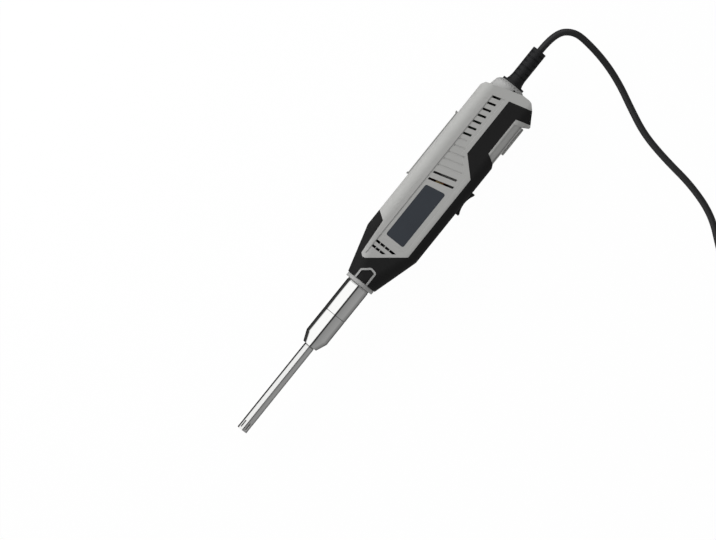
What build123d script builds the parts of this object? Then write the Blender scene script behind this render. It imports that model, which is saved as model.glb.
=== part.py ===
from build123d import *
import os
from functools import lru_cache
from math import pi, radians, tan

# Hand-held rotor stator homogenizer: a mains rotary drive with a dispersing probe.
# Origin: centre of the stator's tip, on the rotor axis. +X runs along the axis to the cord,
# +Y to the top plate, +Z to the left side, which has the spindle lock. Millimetres.

# ---------------------------------------------------------------- fits
MOVE_GAP = 0.3  # between pieces that move against each other
RUN_GAP = 0.05  # radial play of a shaft in its bush
SEAT_GAP = 0.03  # round a piece that is pushed into its seat
LAY_GAP = 0.3  # between a piece and the ribs or walls that trap it

# ---------------------------------------------------------------- dispersing probe
TUBE_R = 5.0
TUBE_WALL = 0.8
TUBE_NECK_X = 95.0  # from here on the tube is a little thinner, inside the sleeve
TUBE_NECK_R = 4.8
WINDOW_COUNT = 6
WINDOW_W = 1.2
WINDOW_START = 2.2
WINDOW_END = 9.2
KNIFE_START = 1.0
KNIFE_LENGTH = 9.0
KNIFE_WALL = 1.0
KNIFE_SLOT_W = 1.6
KNIFE_HUB = 2.2
SHAFT_R = 1.75
BUSH_LENGTH = 6.0
LOWER_BUSH_X = 16.0
UPPER_BUSH_X = 88.0
SEAL_LENGTH = 3.0
SLEEVE_X = 96.1  # front face of the stainless sleeve
SLEEVE_FRONT_R = 7.2
SLEEVE_CONE = 10.0
SLEEVE_R = 11.4
SLEEVE_BORE_R = 7.6
SLEEVE_RELIEF_X = 164.0  # the sleeve's seat in the nose ring starts here
SLEEVE_RELIEF_R = 11.1
TUBE_FLANGE_R = 7.2
TUBE_FLANGE_X = 112.0
TUBE_FLANGE_T = 3.0
UNION_X = 131.35  # joint between the two sleeves
UNION_GASKET_T = 0.3
UNION_SPIGOT_R = 9.4
UNION_SPIGOT_LENGTH = 5.6
EDGE_BREAK = 0.4

# ---------------------------------------------------------------- housing
NOSE_X = 169.5
NOSE_D = 30.2
NOSE_CORNER = 14.8
SHOULDER_X = 212.7
BODY_H = 55.0
BODY_T = 48.0
BODY_CORNER = 11.0
TAIL_X = 387.2
GRIP_T = 1.5  # soft overmould
WALL = 3.4  # whole wall, overmould and core
PANEL_DEPTH = 0.6
HEEL_T = 34.0
DIAL_FLAT_Y = -(BODY_H / 2 - 1.9)
NOSE_RING_X = 165.7
NOSE_RING_R = 14.3
NOSE_WALL = 2.8
NOSE_SPIGOT_R = 8.95

# the housing's side outline: straight on top, slanted tail, heel under the tail
TAIL_TOP = (372.2, BODY_H / 2)
TAIL_EDGE = (376.2, BODY_H / 2 - 2.4)
TAIL_SHOULDER = (377.6, 21.4)
TAIL_WAIST = (TAIL_X, -8.9)
TAIL_LOW = (TAIL_X, -15.4)
TAIL_ROUND = (386.5, -18.4)
HEEL_BACK = (381.5, 4.1 - BODY_H / 2)
HEEL_TIP = (369.4, -3.7 - BODY_H / 2)
FLAT_REAR = (366.0, DIAL_FLAT_Y)
FLAT_FRONT = (323.2, DIAL_FLAT_Y)
FLAT_RISE = (319.6, -BODY_H / 2)
FAR = 60.0  # beyond the housing, for columns that cut across it

# the soft overmould's border, seen from the side
GRIP_TOP = (229.1, 27.3)
GRIP_TOP_LOW = (223.5, 18.9)
GRIP_CREASE = (189.6, 16.1)
GRIP_VERTEX_HIGH = (187.3, 13.4)
GRIP_VERTEX_LOW = (187.9, 10.6)
GRIP_KNEE = (211.8, -18.9)
GRIP_BELLY = (299.9, -18.9)
GRIP_HIP = (316.4, -1.9)
GRIP_REAR = (375.4, -1.9)
WINDOW_TOP_FRONT = (328.1, -16.7)
WINDOW_TOP_REAR = (366.5, -16.7)
WINDOW_LOW_REAR = (371.3, -30.6)
WINDOW_LOW_FRONT = (321.9, -27.6)
WINDOW_STRIP = 4.6  # frame left at the window's rear
WINDOW_BAND = 1.8  # frame left along the window's top
WINDOW_DEPTH = 0.8

# the shallow side panel
PANEL = [
    (191.5, 13.2),
    (214.6, -14.3),
    (297.9, -14.3),
    (313.6, 1.9),
    (374.2, 1.9),
    (370.8, 13.2),
]

# vents and blind ribs in the panel
VENT_W = 2.2
SLANT = 17.0  # lean of the rear openings, degrees
FRONT_VENTS = [(200.7, 12.6, -0.4, 3), (206.3, 12.6, -7.6, 4)]  # X, top, low, openings
CROSSBAR_W = 0.9
CROSSBAR_SUNK = 1.5
LONG_VENT_DEPTH = 10.0
LONG_VENTS = [(281.4, 11.2, -11.6), (288.4, 11.2, -9.9)]
REAR_VENT_COUNT = 7
REAR_VENT_X = 329.7
REAR_VENT_PITCH = 6.86
REAR_VENT_TOP = 12.4
REAR_VENT_LOW = 5.0
RIB_COUNT = 5
RIB_X = 296.0
RIB_PITCH = 6.9
RIB_TOP = 12.0
RIB_LOW = -9.5
RIB_RISE = 3.6
RIB_W = 1.6
RIB_DEPTH = 0.5

# label window
LABEL_FRONT = 215.7
LABEL_REAR_TOP = 272.3
LABEL_REAR_LOW = 276.3
LABEL_TOP = 9.4
LABEL_LOW = -10.0
LABEL_T = 0.9
LABEL_CORNER_R = 2.0

# top plate
PLATE_FRONT = 270.2
PLATE_REAR = 340.3
PLATE_W = 17.0
PLATE_T = 1.1
PLATE_LIP = 0.9
PLATE_LIP_LENGTH = 1.6

# housing screws: X, Y
SCREW_SPOTS = [(203.0, 17.6), (203.0, -17.6), (290.5, 19.0), (325.0, -20.0), (352.0, 19.0), (373.0, -18.2)]
POST_R = 4.0
SCREW_R = 1.5
SCREW_HEAD_R = 2.6
SCREW_HEAD_T = 2.2
SCREW_HEAD_Z = -18.0
SCREW_END_Z = 10.0

# ---------------------------------------------------------------- spindle, lock and bearings
SPINDLE_R = 4.0
SPINDLE_X = 150.0
SPINDLE_END = 206.0
SHAFT_COUPLING_R = 6.8
SHAFT_COUPLING_X = 141.0
SHAFT_COUPLING_END = 158.0
LOCK_X = 176.6
LOCK_COLLAR_R = 6.5
LOCK_COLLAR_W = 8.0
LOCK_HOLE_R = 1.9
LOCK_PIN_R = 1.5
LOCK_TRAVEL = 2.0
LOCK_SEAT_Z = 7.0
LOCK_SEAT_T = 0.8
LOCK_SPRING_R = 2.6
LOCK_SPRING_WIRE = 0.25
LOCK_SPRING_TURNS = 4
LOCK_BUTTON_Z = 11.6
LOCK_BEZEL_Z = 9.4
LOCK_BEZEL_W = 1.8
LOCK_CORNER_R = 2.6
LOCK_BEZEL_PROUD = 0.5
LOCK_SHAPE = [(178.2, 7.9), (184.6, 0.4), (183.4, -6.4)]  # behind the straight sides, which start at the nose

FRONT_BEARING_X = 188.5
FRONT_BEARING_W = 7.0
FRONT_BEARING_R = 11.0
REAR_BEARING_X = 288.5
REAR_BEARING_W = 6.0
REAR_BEARING_R = 9.5
RACE_T = 1.8
BALL_COUNT = 7
CAGE_T = 1.0
CAGE_W = 2.0
BULKHEAD_LIP = 1.0
BULKHEAD_LIP_R = 2.4  # how much less than the bearing's radius the lip's hole is

# ---------------------------------------------------------------- motor
MOTOR_COUPLING_R = 12.7
MOTOR_COUPLING_X = 199.0
MOTOR_COUPLING_LENGTH = 13.0
MOTOR_SHAFT_R = 3.0
MOTOR_SHAFT_X = 206.6
MOTOR_SHAFT_END = 296.0
FAN_R = 18.4
FAN_HUB_R = 6.0
FAN_X = 213.5
FAN_LENGTH = 7.2
FAN_DISC_T = 1.2
FAN_BLADES = 11
BAFFLE_X = 222.2
BAFFLE_T = 1.4
BAFFLE_R = 14.6
CORE_X = 230.0
CORE_LENGTH = 32.0
AIR_GAP = 0.4
ARMATURE_R = 15.0
ARMATURE_SLOTS = 12
ARMATURE_SLOT_W = 2.0
ARMATURE_SLOT_DEPTH = 5.5
WINDING_R = 13.4
WINDING_END = 5.2
COIL_IN_R = 15.8
COIL_OUT_R = 18.9
COIL_END = 4.6
COIL_HALF_ANGLE = 75
COIL_LEG_ANGLE = 50
COMMUTATOR_X = 270.8
COMMUTATOR_LENGTH = 13.0
COMMUTATOR_R = 8.5
COMMUTATOR_BARS = 12
COMMUTATOR_GROOVE = 0.5
BRUSH_X = 277.5
BRUSH_W = 6.0
BRUSH_H = 6.4
BRUSH_LENGTH = 6.4
HOLDER_WALL = 1.0
BRUSH_SPRING_R = 2.2
BRUSH_SPRING_WIRE = 0.3
BRUSH_SPRING_TURNS = 3
SPRING_STEPS = 12  # straight steps in one turn of a spring

# ---------------------------------------------------------------- slide switch
BUTTON_FRONT = 269.0
BUTTON_REAR = 292.5
BUTTON_W = 17.0
BUTTON_RIB_COUNT = 5
BUTTON_RIB_PITCH = 3.4
BUTTON_RIB_W = 0.9
BUTTON_RIB_DEPTH = 0.8
BUTTON_TOP_Y = -(BODY_H / 2 + 2.9)
BUTTON_DIP_Y = -(BODY_H / 2 + 0.4)
SWITCH_TRAVEL = 6.0
STEM_LENGTH = 8.0
STEM_W = 6.0
LINK_FRONT = 278.0
LINK_REAR = 306.0
LINK_T = 1.5
LINK_W = 7.0
SWITCH_BODY_X = 299.0
SWITCH_BODY_LENGTH = 19.5
SWITCH_BODY_H = 11.0
SWITCH_BODY_W = 14.0
SWITCH_LEVER = 2.0
SWITCH_RIB_W = 8.0

# ---------------------------------------------------------------- speed control
DIAL_X = 350.2
DIAL_R = 14.7
DIAL_T = 2.1
DIAL_NOTCHES = 30
DIAL_NOTCH_W = 1.2
DIAL_NOTCH_DEPTH = 0.6
DIAL_SHAFT_R = 3.0
BOARD_Y = DIAL_FLAT_Y + 12.7
DIAL_SHAFT_END_Y = BOARD_Y - 2.1
BOARD_T = 1.6
BOARD_FRONT = 331.0
BOARD_REAR = 368.0
POT_SIZE = 16.0
POT_H = 8.4
CAPACITOR_LENGTH = 18.0
CAPACITOR_W = 8.0
CAPACITOR_H = 9.0
DRIVER_FRONT = 326.0  # the upright board, behind the rear vents
DRIVER_REAR = 353.0
DRIVER_Z = -8.0
DRIVER_TOP_Y = 14.0

# ---------------------------------------------------------------- cord exit
CORD_Y = 4.7
CORD_D = 6.3
COLLAR_R = 12.0
COLLAR_END_R = 10.9
COLLAR_X = 371.0
COLLAR_END = 389.8
COLLAR_BORE_R = 7.2
COLLAR_SKIRT = [(COLLAR_X, 18.5), (386.4, 15.0), (388.2, 13.4)]  # the cone outside the housing
COLLAR_NOTCHES = 24
COLLAR_NOTCH_W = 1.0
COLLAR_NOTCH_R = 12.4
COLLAR_NOTCH_LENGTH = 1.9
COLLAR_HOLE = (385.6, 0.2)
COLLAR_HOLE_R = 0.9
FLANGE_T = 1.8
FLANGE_R = 11.1
BOOT_R = 6.8
BOOT_END = 428.5
BOOT_FLARE = 6.0
BOOT_RING_COUNT = 6
BOOT_RING_PITCH = 5.0
BOOT_RING_GAP = 1.6
BOOT_RING_DEPTH = 1.3
BOOT_BRIDGE_W = 5.0
LEAD_START = 351.0
CLAMP_X = 354.0
CLAMP_LENGTH = 13.0
CLAMP_HALF = 10.5
CLAMP_T = 3.0
CLAMP_SCREW_Y = 7.4
CLAMP_SCREW_R = 1.25
CLAMP_SCREW_HEAD_R = 2.4
CLAMP_SCREW_HEAD_T = 1.8
CLAMP_SCREW_LENGTH = 9.0

# ---------------------------------------------------------------- cord, coil and plug
FLOOR_Z = -BODY_T / 2
CORD_Z = FLOOR_Z + CORD_D / 2
COIL_CENTRE = (414.0, -284.0)
COIL_MEAN_R = 37.0
COIL_SECTION_W = 19.1
COIL_SECTION_H = 12.7
TIE_T = 0.8
TIE_W = 12.0
PLUG_W = 35.0
PLUG_T = 13.7
PLUG_LENGTH = 30.0
PLUG_NECK = 12.0
PIN_R = 2.0
PIN_LENGTH = 19.0
PIN_PITCH = 18.6

# route of the lead from the boot to the coil, and of its end from the coil to the plug
LEAD_POINTS = [
    (BOOT_END, CORD_Y, 0.0),
    (447.5, CORD_Y, 0.0),
    (461.2, -8.6, -3.4),
    (461.8, -29.0, -9.2),
    (458.6, -50.6, -15.2),
    (452.0, -71.8, -19.4),
    (442.4, -92.6, CORD_Z),
    (431.6, -116.0, CORD_Z),
    (424.8, -144.0, CORD_Z),
    (421.4, -176.0, CORD_Z),
    (412.0, -207.0, CORD_Z),
    (393.0, -231.0, CORD_Z),
    (374.4, -256.0, CORD_Z),
    (370.6, -284.0, CORD_Z),
]
TAIL_POINTS = [
    (379.0, -309.5, -14.0),
    (391.3, -326.5, -16.0),
    (409.2, -338.3, FLOOR_Z + PLUG_T / 2),
    (429.5, -343.0, FLOOR_Z + PLUG_T / 2),
]

# ---------------------------------------------------------------- derived places
TUBE_BORE_R = TUBE_R - TUBE_WALL
KNIFE_R = TUBE_BORE_R - MOVE_GAP - RUN_GAP
KNIFE_END = KNIFE_START + KNIFE_LENGTH
CONE_END = SLEEVE_X + SLEEVE_CONE
REAR_SLEEVE_X = UNION_X + UNION_GASKET_T
CORE_SURFACE_Y = -(BODY_H / 2 - GRIP_T)
CAVITY_Y = BODY_H / 2 - WALL
CAVITY_Z = BODY_T / 2 - WALL
FRONT_BULKHEAD = (FRONT_BEARING_X - BULKHEAD_LIP, FRONT_BEARING_X + FRONT_BEARING_W)
REAR_BULKHEAD = (REAR_BEARING_X - BULKHEAD_LIP, REAR_BEARING_X + REAR_BEARING_W)
CORE_END = CORE_X + CORE_LENGTH
DIAL_HIGH_Y = DIAL_FLAT_Y - MOVE_GAP
POT_LOW_Y = BOARD_Y - POT_H
BRUSH_Z = COMMUTATOR_R + MOVE_GAP
HOLDER_END_Z = CAVITY_Z - LAY_GAP
LOCK_OUTLINE = [(NOSE_X, LOCK_SHAPE[0][1]), *LOCK_SHAPE, (NOSE_X, LOCK_SHAPE[-1][1])]
LOCK_OPEN = [(NOSE_X - FAR, LOCK_SHAPE[0][1]), *LOCK_SHAPE, (NOSE_X - FAR, LOCK_SHAPE[-1][1])]
LINK_Y = -(CAVITY_Y - MOVE_GAP)
SWITCH_LOW_Y = LINK_Y + LINK_T + SWITCH_LEVER + MOVE_GAP


def on_line(a, b, y):
    """The point at height y on the line through a and b."""
    return (a[0] + (b[0] - a[0]) * (y - a[1]) / (b[1] - a[1]), y)


def column(outline, shrink=0.0, corner=0.0):
    """A column across the housing, along Z; its side outline may be shrunk and, behind its front, rounded."""
    with BuildPart() as block:
        with BuildSketch(Plane.XY):
            with BuildLine():
                Polyline(*outline, close=True)
            make_face()
            if shrink:
                offset(amount=-shrink, kind=Kind.INTERSECTION)
        extrude(amount=FAR, both=True)
        if corner:
            upright = block.edges().filter_by(Axis.Z).sort_by(Axis.X)
            fillet(upright[2:], corner)
    return block.part


@lru_cache
def hull(inset):
    """The housing's outer form, moved inwards by inset."""
    top_rear = on_line(TAIL_EDGE, TAIL_TOP, FAR)
    profile = [
        (NOSE_X - FAR, FAR),
        (top_rear[0], FAR),
        TAIL_EDGE,
        TAIL_SHOULDER,
        TAIL_WAIST,
        TAIL_LOW,
        TAIL_ROUND,
        HEEL_BACK,
        HEEL_TIP,
        FLAT_REAR,
        FLAT_FRONT,
        FLAT_RISE,
        (FLAT_RISE[0], -FAR),
        (NOSE_X - FAR, -FAR),
    ]
    heel = [FLAT_REAR, HEEL_TIP, HEEL_BACK, (HEEL_BACK[0], 0), (FLAT_REAR[0], 0)]
    with BuildPart() as form:
        with BuildSketch(Plane.YZ.offset(NOSE_X)):
            RectangleRounded(NOSE_D - 2 * inset, NOSE_D - 2 * inset, NOSE_CORNER - inset)
        with BuildSketch(Plane.YZ.offset(SHOULDER_X)):
            RectangleRounded(BODY_H - 2 * inset, BODY_T - 2 * inset, BODY_CORNER - inset)
        loft(ruled=True)
        with BuildSketch(Plane.YZ.offset(SHOULDER_X)):
            RectangleRounded(BODY_H - 2 * inset, BODY_T - 2 * inset, BODY_CORNER - inset)
        extrude(amount=TAIL_X - SHOULDER_X + WALL)
        with BuildSketch(Plane.XY):
            with BuildLine():
                Polyline(*heel, close=True)
            make_face()
        extrude(amount=HEEL_T / 2 - inset, both=True)
        add(column(profile, inset), mode=Mode.INTERSECT)
    return form.part


def skin(outline, depth):
    """The housing's outer layer of a depth, inside a side outline."""
    with BuildPart() as layer:
        add(hull(0))
        add(hull(depth), mode=Mode.SUBTRACT)
        add(column(outline), mode=Mode.INTERSECT)
    return layer.part


def chamber(front, rear):
    """The hollow of the housing between two stations along X."""
    with BuildPart() as room:
        add(hull(WALL))
        split(bisect_by=Plane.YZ.offset(front), keep=Keep.TOP)
        split(bisect_by=Plane.YZ.offset(rear), keep=Keep.BOTTOM)
    return room.part


def ring(start, end, outer, inner=0.0, y=0.0):
    """A round piece on an axis along X, with a bore if inner is given."""
    with BuildPart() as round_piece:
        with BuildSketch(Plane.YZ.offset(start)):
            with Locations((y, 0)):
                Circle(outer)
                if inner:
                    Circle(inner, mode=Mode.SUBTRACT)
        extrude(amount=end - start)
    return round_piece.part


def turned(profile, y=0.0):
    """A turned piece: a closed profile of X and radius, spun about the axis at height y."""
    with BuildPart() as spun:
        with BuildSketch(Plane.XY):
            with BuildLine():
                Polyline(*[(x, y + r) for x, r in profile], close=True)
            make_face()
        revolve(axis=Axis((0, y, 0), (1, 0, 0)))
    return spun.part


def block(x_span, y_span, z_span):
    """A plain block between two corners."""
    size = [b - a for a, b in (x_span, y_span, z_span)]
    centre = [(a + b) / 2 for a, b in (x_span, y_span, z_span)]
    with BuildPart() as brick:
        with Locations(tuple(centre)):
            Box(*size)
    return brick.part


def spring(radius, wire, height, turns, plane):
    """A compression spring of square wire that stands on a plane, in short straight steps."""
    steps = turns * SPRING_STEPS
    rise = (height - 2 * wire) / steps
    points = []
    for step in range(steps + 1):
        across = Vector(radius, 0, 0).rotate(Axis.Z, 360 / SPRING_STEPS * step)
        points.append((across.X, across.Y, wire + rise * step))
    with BuildPart() as coil:
        with BuildLine() as route:
            Polyline(*points)
        with BuildSketch(Plane(points[0], x_dir=(1, 0, 0), z_dir=route.line % 0)):
            Rectangle(2 * wire, 2 * wire)
        sweep(transition=Transition.RIGHT)
    return plane * coil.part


def corner_radii(points):
    """The largest smooth radius at each inner corner of a cord's route."""
    radii = []
    for before, here, after in zip(points, points[1:], points[2:]):
        turn = (Vector(*here) - Vector(*before)).get_angle(Vector(*after) - Vector(*here))
        shorter = min((Vector(*here) - Vector(*before)).length, (Vector(*after) - Vector(*here)).length)
        radii.append(0.45 * shorter / tan(radians(turn) / 2))
    return radii


def cord_tube(points):
    """A round cord along straight runs joined by tangent arcs."""
    radii = corner_radii(points)
    with BuildPart() as tube:
        with BuildLine() as route:
            FilletPolyline(*points, radius=radii)
        with BuildSketch(Plane(route.line @ 0, z_dir=route.line % 0)):
            Circle(CORD_D / 2)
        sweep()
    path_length = sum(piece.length for piece in route.edges())
    wanted = path_length * pi * CORD_D**2 / 4
    print("cord radii", [round(r, 1) for r in radii], "length", round(path_length, 1))
    print("cord volume", round(tube.part.volume, 1), "section times length", round(wanted, 1))
    return tube.part


def save(piece, name):
    """Labels a finished piece and writes its STEP file."""
    piece.part.label = name
    export_step(piece.part, f"parts/{name}.step")


os.makedirs("parts", exist_ok=True)

# ================================================================ dispersing probe
with BuildPart() as stator_tube:
    add(ring(0, TUBE_NECK_X, TUBE_R, TUBE_BORE_R))
    add(ring(TUBE_NECK_X, TUBE_FLANGE_X, TUBE_NECK_R, TUBE_BORE_R))
    add(ring(TUBE_FLANGE_X, TUBE_FLANGE_X + TUBE_FLANGE_T, TUBE_FLANGE_R, TUBE_BORE_R))
    with BuildSketch(Plane.XZ):
        with Locations(((WINDOW_START + WINDOW_END) / 2, 0)):
            SlotOverall(WINDOW_END - WINDOW_START, WINDOW_W)
    window = extrude(amount=TUBE_R * 2, mode=Mode.PRIVATE)
    for turn in range(WINDOW_COUNT):
        add(window.rotate(Axis.X, 360 / WINDOW_COUNT * turn), mode=Mode.SUBTRACT)
save(stator_tube, "stator_tube")

with BuildPart() as shaft_bushes:
    for start in (LOWER_BUSH_X, UPPER_BUSH_X):
        add(ring(start, start + BUSH_LENGTH, TUBE_BORE_R - SEAT_GAP, SHAFT_R + RUN_GAP))
save(shaft_bushes, "shaft_bushes")

with BuildPart() as shaft_seal:
    seal_x = UPPER_BUSH_X + BUSH_LENGTH + LAY_GAP
    add(ring(seal_x, seal_x + SEAL_LENGTH, TUBE_BORE_R - SEAT_GAP, SHAFT_R + RUN_GAP))
save(shaft_seal, "shaft_seal")

with BuildPart() as front_sleeve:
    add(
        turned(
            [
                (SLEEVE_X, TUBE_NECK_R + SEAT_GAP),
                (SLEEVE_X, SLEEVE_FRONT_R - EDGE_BREAK),
                (SLEEVE_X + EDGE_BREAK, SLEEVE_FRONT_R),
                (CONE_END, SLEEVE_R),
                (UNION_X, SLEEVE_R),
                (UNION_X, UNION_SPIGOT_R),
                (UNION_X + UNION_SPIGOT_LENGTH, UNION_SPIGOT_R),
                (UNION_X + UNION_SPIGOT_LENGTH, SLEEVE_BORE_R),
                (TUBE_FLANGE_X, SLEEVE_BORE_R),
                (TUBE_FLANGE_X, TUBE_NECK_R + SEAT_GAP),
            ]
        )
    )
save(front_sleeve, "front_sleeve")

with BuildPart() as union_gasket:
    add(ring(UNION_X, REAR_SLEEVE_X, SLEEVE_R - EDGE_BREAK, UNION_SPIGOT_R + SEAT_GAP))
save(union_gasket, "union_gasket")

with BuildPart() as coupling_sleeve:
    spigot_seat = UNION_X + UNION_SPIGOT_LENGTH + LAY_GAP
    add(
        turned(
            [
                (REAR_SLEEVE_X, UNION_SPIGOT_R + SEAT_GAP),
                (REAR_SLEEVE_X, SLEEVE_R),
                (SLEEVE_RELIEF_X, SLEEVE_R),
                (SLEEVE_RELIEF_X, SLEEVE_RELIEF_R),
                (NOSE_X, SLEEVE_RELIEF_R),
                (NOSE_X, NOSE_SPIGOT_R),
                (NOSE_X + NOSE_WALL, NOSE_SPIGOT_R),
                (NOSE_X + NOSE_WALL, SPINDLE_R + MOVE_GAP),
                (SHAFT_COUPLING_END + 2 * MOVE_GAP, SPINDLE_R + MOVE_GAP),
                (SHAFT_COUPLING_END + 2 * MOVE_GAP, SLEEVE_BORE_R),
                (spigot_seat, SLEEVE_BORE_R),
                (spigot_seat, UNION_SPIGOT_R + SEAT_GAP),
            ]
        )
    )
save(coupling_sleeve, "coupling_sleeve")

with BuildPart() as nose_ring:
    add(ring(NOSE_RING_X, NOSE_X, NOSE_RING_R, SLEEVE_RELIEF_R + SEAT_GAP))
    front_edge = nose_ring.faces().sort_by(Axis.X)[0].edges().sort_by(SortBy.RADIUS)[-1]
    chamfer(front_edge, EDGE_BREAK)
save(nose_ring, "nose_ring")

# ================================================================ rotor of the probe
with BuildPart() as rotor_knife:
    add(ring(KNIFE_START, KNIFE_END, KNIFE_R))
    add(ring(KNIFE_START, KNIFE_END - KNIFE_HUB, KNIFE_R - KNIFE_WALL), mode=Mode.SUBTRACT)
    slot_end = KNIFE_END - KNIFE_HUB - KNIFE_WALL
    for y_half, z_half in ((TUBE_R, KNIFE_SLOT_W / 2), (KNIFE_SLOT_W / 2, TUBE_R)):
        slot = block((0, slot_end), (-y_half, y_half), (-z_half, z_half))
        add(slot, mode=Mode.SUBTRACT)
save(rotor_knife, "rotor_knife")

with BuildPart() as drive_shaft:
    add(ring(KNIFE_END, SPINDLE_X - MOVE_GAP, SHAFT_R))
save(drive_shaft, "drive_shaft")

with BuildPart() as shaft_coupling:
    add(ring(SHAFT_COUPLING_X, SHAFT_COUPLING_END, SHAFT_COUPLING_R))
    add(ring(SHAFT_COUPLING_X, SPINDLE_X, SHAFT_R), mode=Mode.SUBTRACT)
    add(ring(SPINDLE_X, SHAFT_COUPLING_END, SPINDLE_R), mode=Mode.SUBTRACT)
save(shaft_coupling, "shaft_coupling")

# ================================================================ spindle
with BuildPart() as spindle:
    add(ring(SPINDLE_X, SPINDLE_END, SPINDLE_R))
    add(ring(LOCK_X - LOCK_COLLAR_W / 2, LOCK_X + LOCK_COLLAR_W / 2, LOCK_COLLAR_R))
    hole_depth = LOCK_TRAVEL
    with BuildSketch(Plane.XY.offset(LOCK_COLLAR_R - hole_depth)):
        with Locations((LOCK_X, 0)):
            Circle(LOCK_HOLE_R)
    lock_hole = extrude(amount=LOCK_COLLAR_R, mode=Mode.PRIVATE)
    for turn in range(4):
        add(lock_hole.rotate(Axis.X, 90 * turn), mode=Mode.SUBTRACT)
save(spindle, "spindle")


def bearing_parts(start, width, outer, bore):
    """The outer ring, inner ring and ball cage of a ball bearing on the X axis."""
    pitch_r = (outer + bore) / 2
    ball_r = (outer - bore) / 2 - RACE_T - RUN_GAP
    middle = start + width / 2
    outer_ring = ring(start, start + width, outer, outer - RACE_T)
    inner_ring = ring(start, start + width, bore + RACE_T, bore)
    with BuildPart() as cage:
        add(ring(middle - CAGE_W / 2, middle + CAGE_W / 2, pitch_r + CAGE_T / 2, pitch_r - CAGE_T / 2))
        ball = Pos(middle, pitch_r, 0) * Sphere(ball_r, mode=Mode.PRIVATE)
        for number in range(BALL_COUNT):
            add(ball.rotate(Axis.X, 360 / BALL_COUNT * number))
    return outer_ring, inner_ring, cage.part


FRONT_BEARING = bearing_parts(FRONT_BEARING_X, FRONT_BEARING_W, FRONT_BEARING_R, SPINDLE_R)
REAR_BEARING = bearing_parts(REAR_BEARING_X, REAR_BEARING_W, REAR_BEARING_R, MOTOR_SHAFT_R)
BEARING_PIECES = ("outer_ring", "inner_ring", "ball_cage")
for side, pieces in (("front", FRONT_BEARING), ("rear", REAR_BEARING)):
    for kind, form in zip(BEARING_PIECES, pieces):
        with BuildPart() as bearing_piece:
            add(form)
        save(bearing_piece, f"{side}_bearing_{kind}")

# ================================================================ housing halves and overmould
GRIP_OUTLINE = [
    (NOSE_X - WALL, FAR),
    on_line(GRIP_TOP_LOW, GRIP_TOP, FAR),
    GRIP_TOP_LOW,
    GRIP_CREASE,
    GRIP_VERTEX_HIGH,
    GRIP_VERTEX_LOW,
    GRIP_KNEE,
    GRIP_BELLY,
    GRIP_HIP,
    GRIP_REAR,
    on_line(GRIP_REAR, HEEL_BACK, -FAR),
    (NOSE_X - WALL, -FAR),
]
GRIP_WINDOW = [
    WINDOW_TOP_FRONT,
    WINDOW_TOP_REAR,
    on_line(WINDOW_TOP_REAR, WINDOW_LOW_REAR, -FAR),
    on_line(WINDOW_TOP_FRONT, WINDOW_LOW_FRONT, -FAR),
]

with BuildPart() as grip_layer:
    add(skin(GRIP_OUTLINE, GRIP_T))
    add(column(GRIP_WINDOW), mode=Mode.SUBTRACT)

def leaning(x, top, low, width):
    """A slanted opening between two heights, with level ends."""
    shift = (top - low) / 2 * tan(radians(SLANT))
    return [
        (x - shift - width / 2, top),
        (x - shift + width / 2, top),
        (x + shift + width / 2, low),
        (x + shift - width / 2, low),
    ]


def vent_row(x, top, low, count):
    """An upright row of openings between crossbars; the lowest ends along the panel's edge."""
    (front_x, front_y), (knee_x, knee_y) = PANEL[:2]
    drop = VENT_W / 2 * (knee_y - front_y) / (knee_x - front_x)
    pitch = (top - low) / count
    row = []
    for number in range(count):
        high = top - number * pitch
        bottom = high - pitch + CROSSBAR_W
        row.append([(x - VENT_W / 2, high), (x + VENT_W / 2, high), (x + VENT_W / 2, bottom), (x - VENT_W / 2, bottom)])
    row[-1][2] = (x + VENT_W / 2, low + drop)
    row[-1][3] = (x - VENT_W / 2, low - drop)
    return row


def sunk(outlines, inset):
    """Columns across the housing with these outlines, down to the hull moved in by inset."""
    with BuildPart() as columns:
        with BuildSketch(Plane.XY):
            for outline in outlines:
                with BuildLine():
                    Polyline(*outline, close=True)
                make_face()
        extrude(amount=FAR, both=True)
        add(hull(inset), mode=Mode.SUBTRACT)
    return columns.part


FRONT_ROWS = [vent_row(x, top, low, 1)[0] for x, top, low, count in FRONT_VENTS]
LONG_OUTLINES = [leaning(x, top, low, VENT_W) for x, top, low in LONG_VENTS]
VENT_OUTLINES = [opening for row in FRONT_VENTS for opening in vent_row(*row)]
VENT_OUTLINES += [
    leaning(REAR_VENT_X + number * REAR_VENT_PITCH, REAR_VENT_TOP, REAR_VENT_LOW, VENT_W)
    for number in range(REAR_VENT_COUNT)
]
RIB_OUTLINES = [
    leaning(RIB_X + number * RIB_PITCH, RIB_TOP, RIB_LOW + number * RIB_RISE, RIB_W)
    for number in range(RIB_COUNT)
]

WINDOW_PANEL_Y = DIAL_FLAT_Y + 1.0
WINDOW_PANEL_TOP = WINDOW_TOP_REAR[1] - WINDOW_BAND
WINDOW_PANEL_REAR = (WINDOW_TOP_REAR[0] - WINDOW_STRIP, WINDOW_TOP_REAR[1])
WINDOW_STRIP_FOOT = (WINDOW_LOW_REAR[0] - WINDOW_STRIP, WINDOW_LOW_REAR[1])
WINDOW_PANEL = [
    on_line(WINDOW_TOP_FRONT, WINDOW_LOW_FRONT, WINDOW_PANEL_TOP),
    on_line(WINDOW_PANEL_REAR, WINDOW_STRIP_FOOT, WINDOW_PANEL_TOP),
    on_line(WINDOW_PANEL_REAR, WINDOW_STRIP_FOOT, WINDOW_PANEL_Y),
    on_line(WINDOW_TOP_FRONT, WINDOW_LOW_FRONT, WINDOW_PANEL_Y),
]
LABEL_OUTLINE = [
    (LABEL_FRONT, LABEL_TOP),
    (LABEL_REAR_TOP, LABEL_TOP),
    (LABEL_REAR_LOW, LABEL_LOW),
    (LABEL_FRONT, LABEL_LOW),
]



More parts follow.
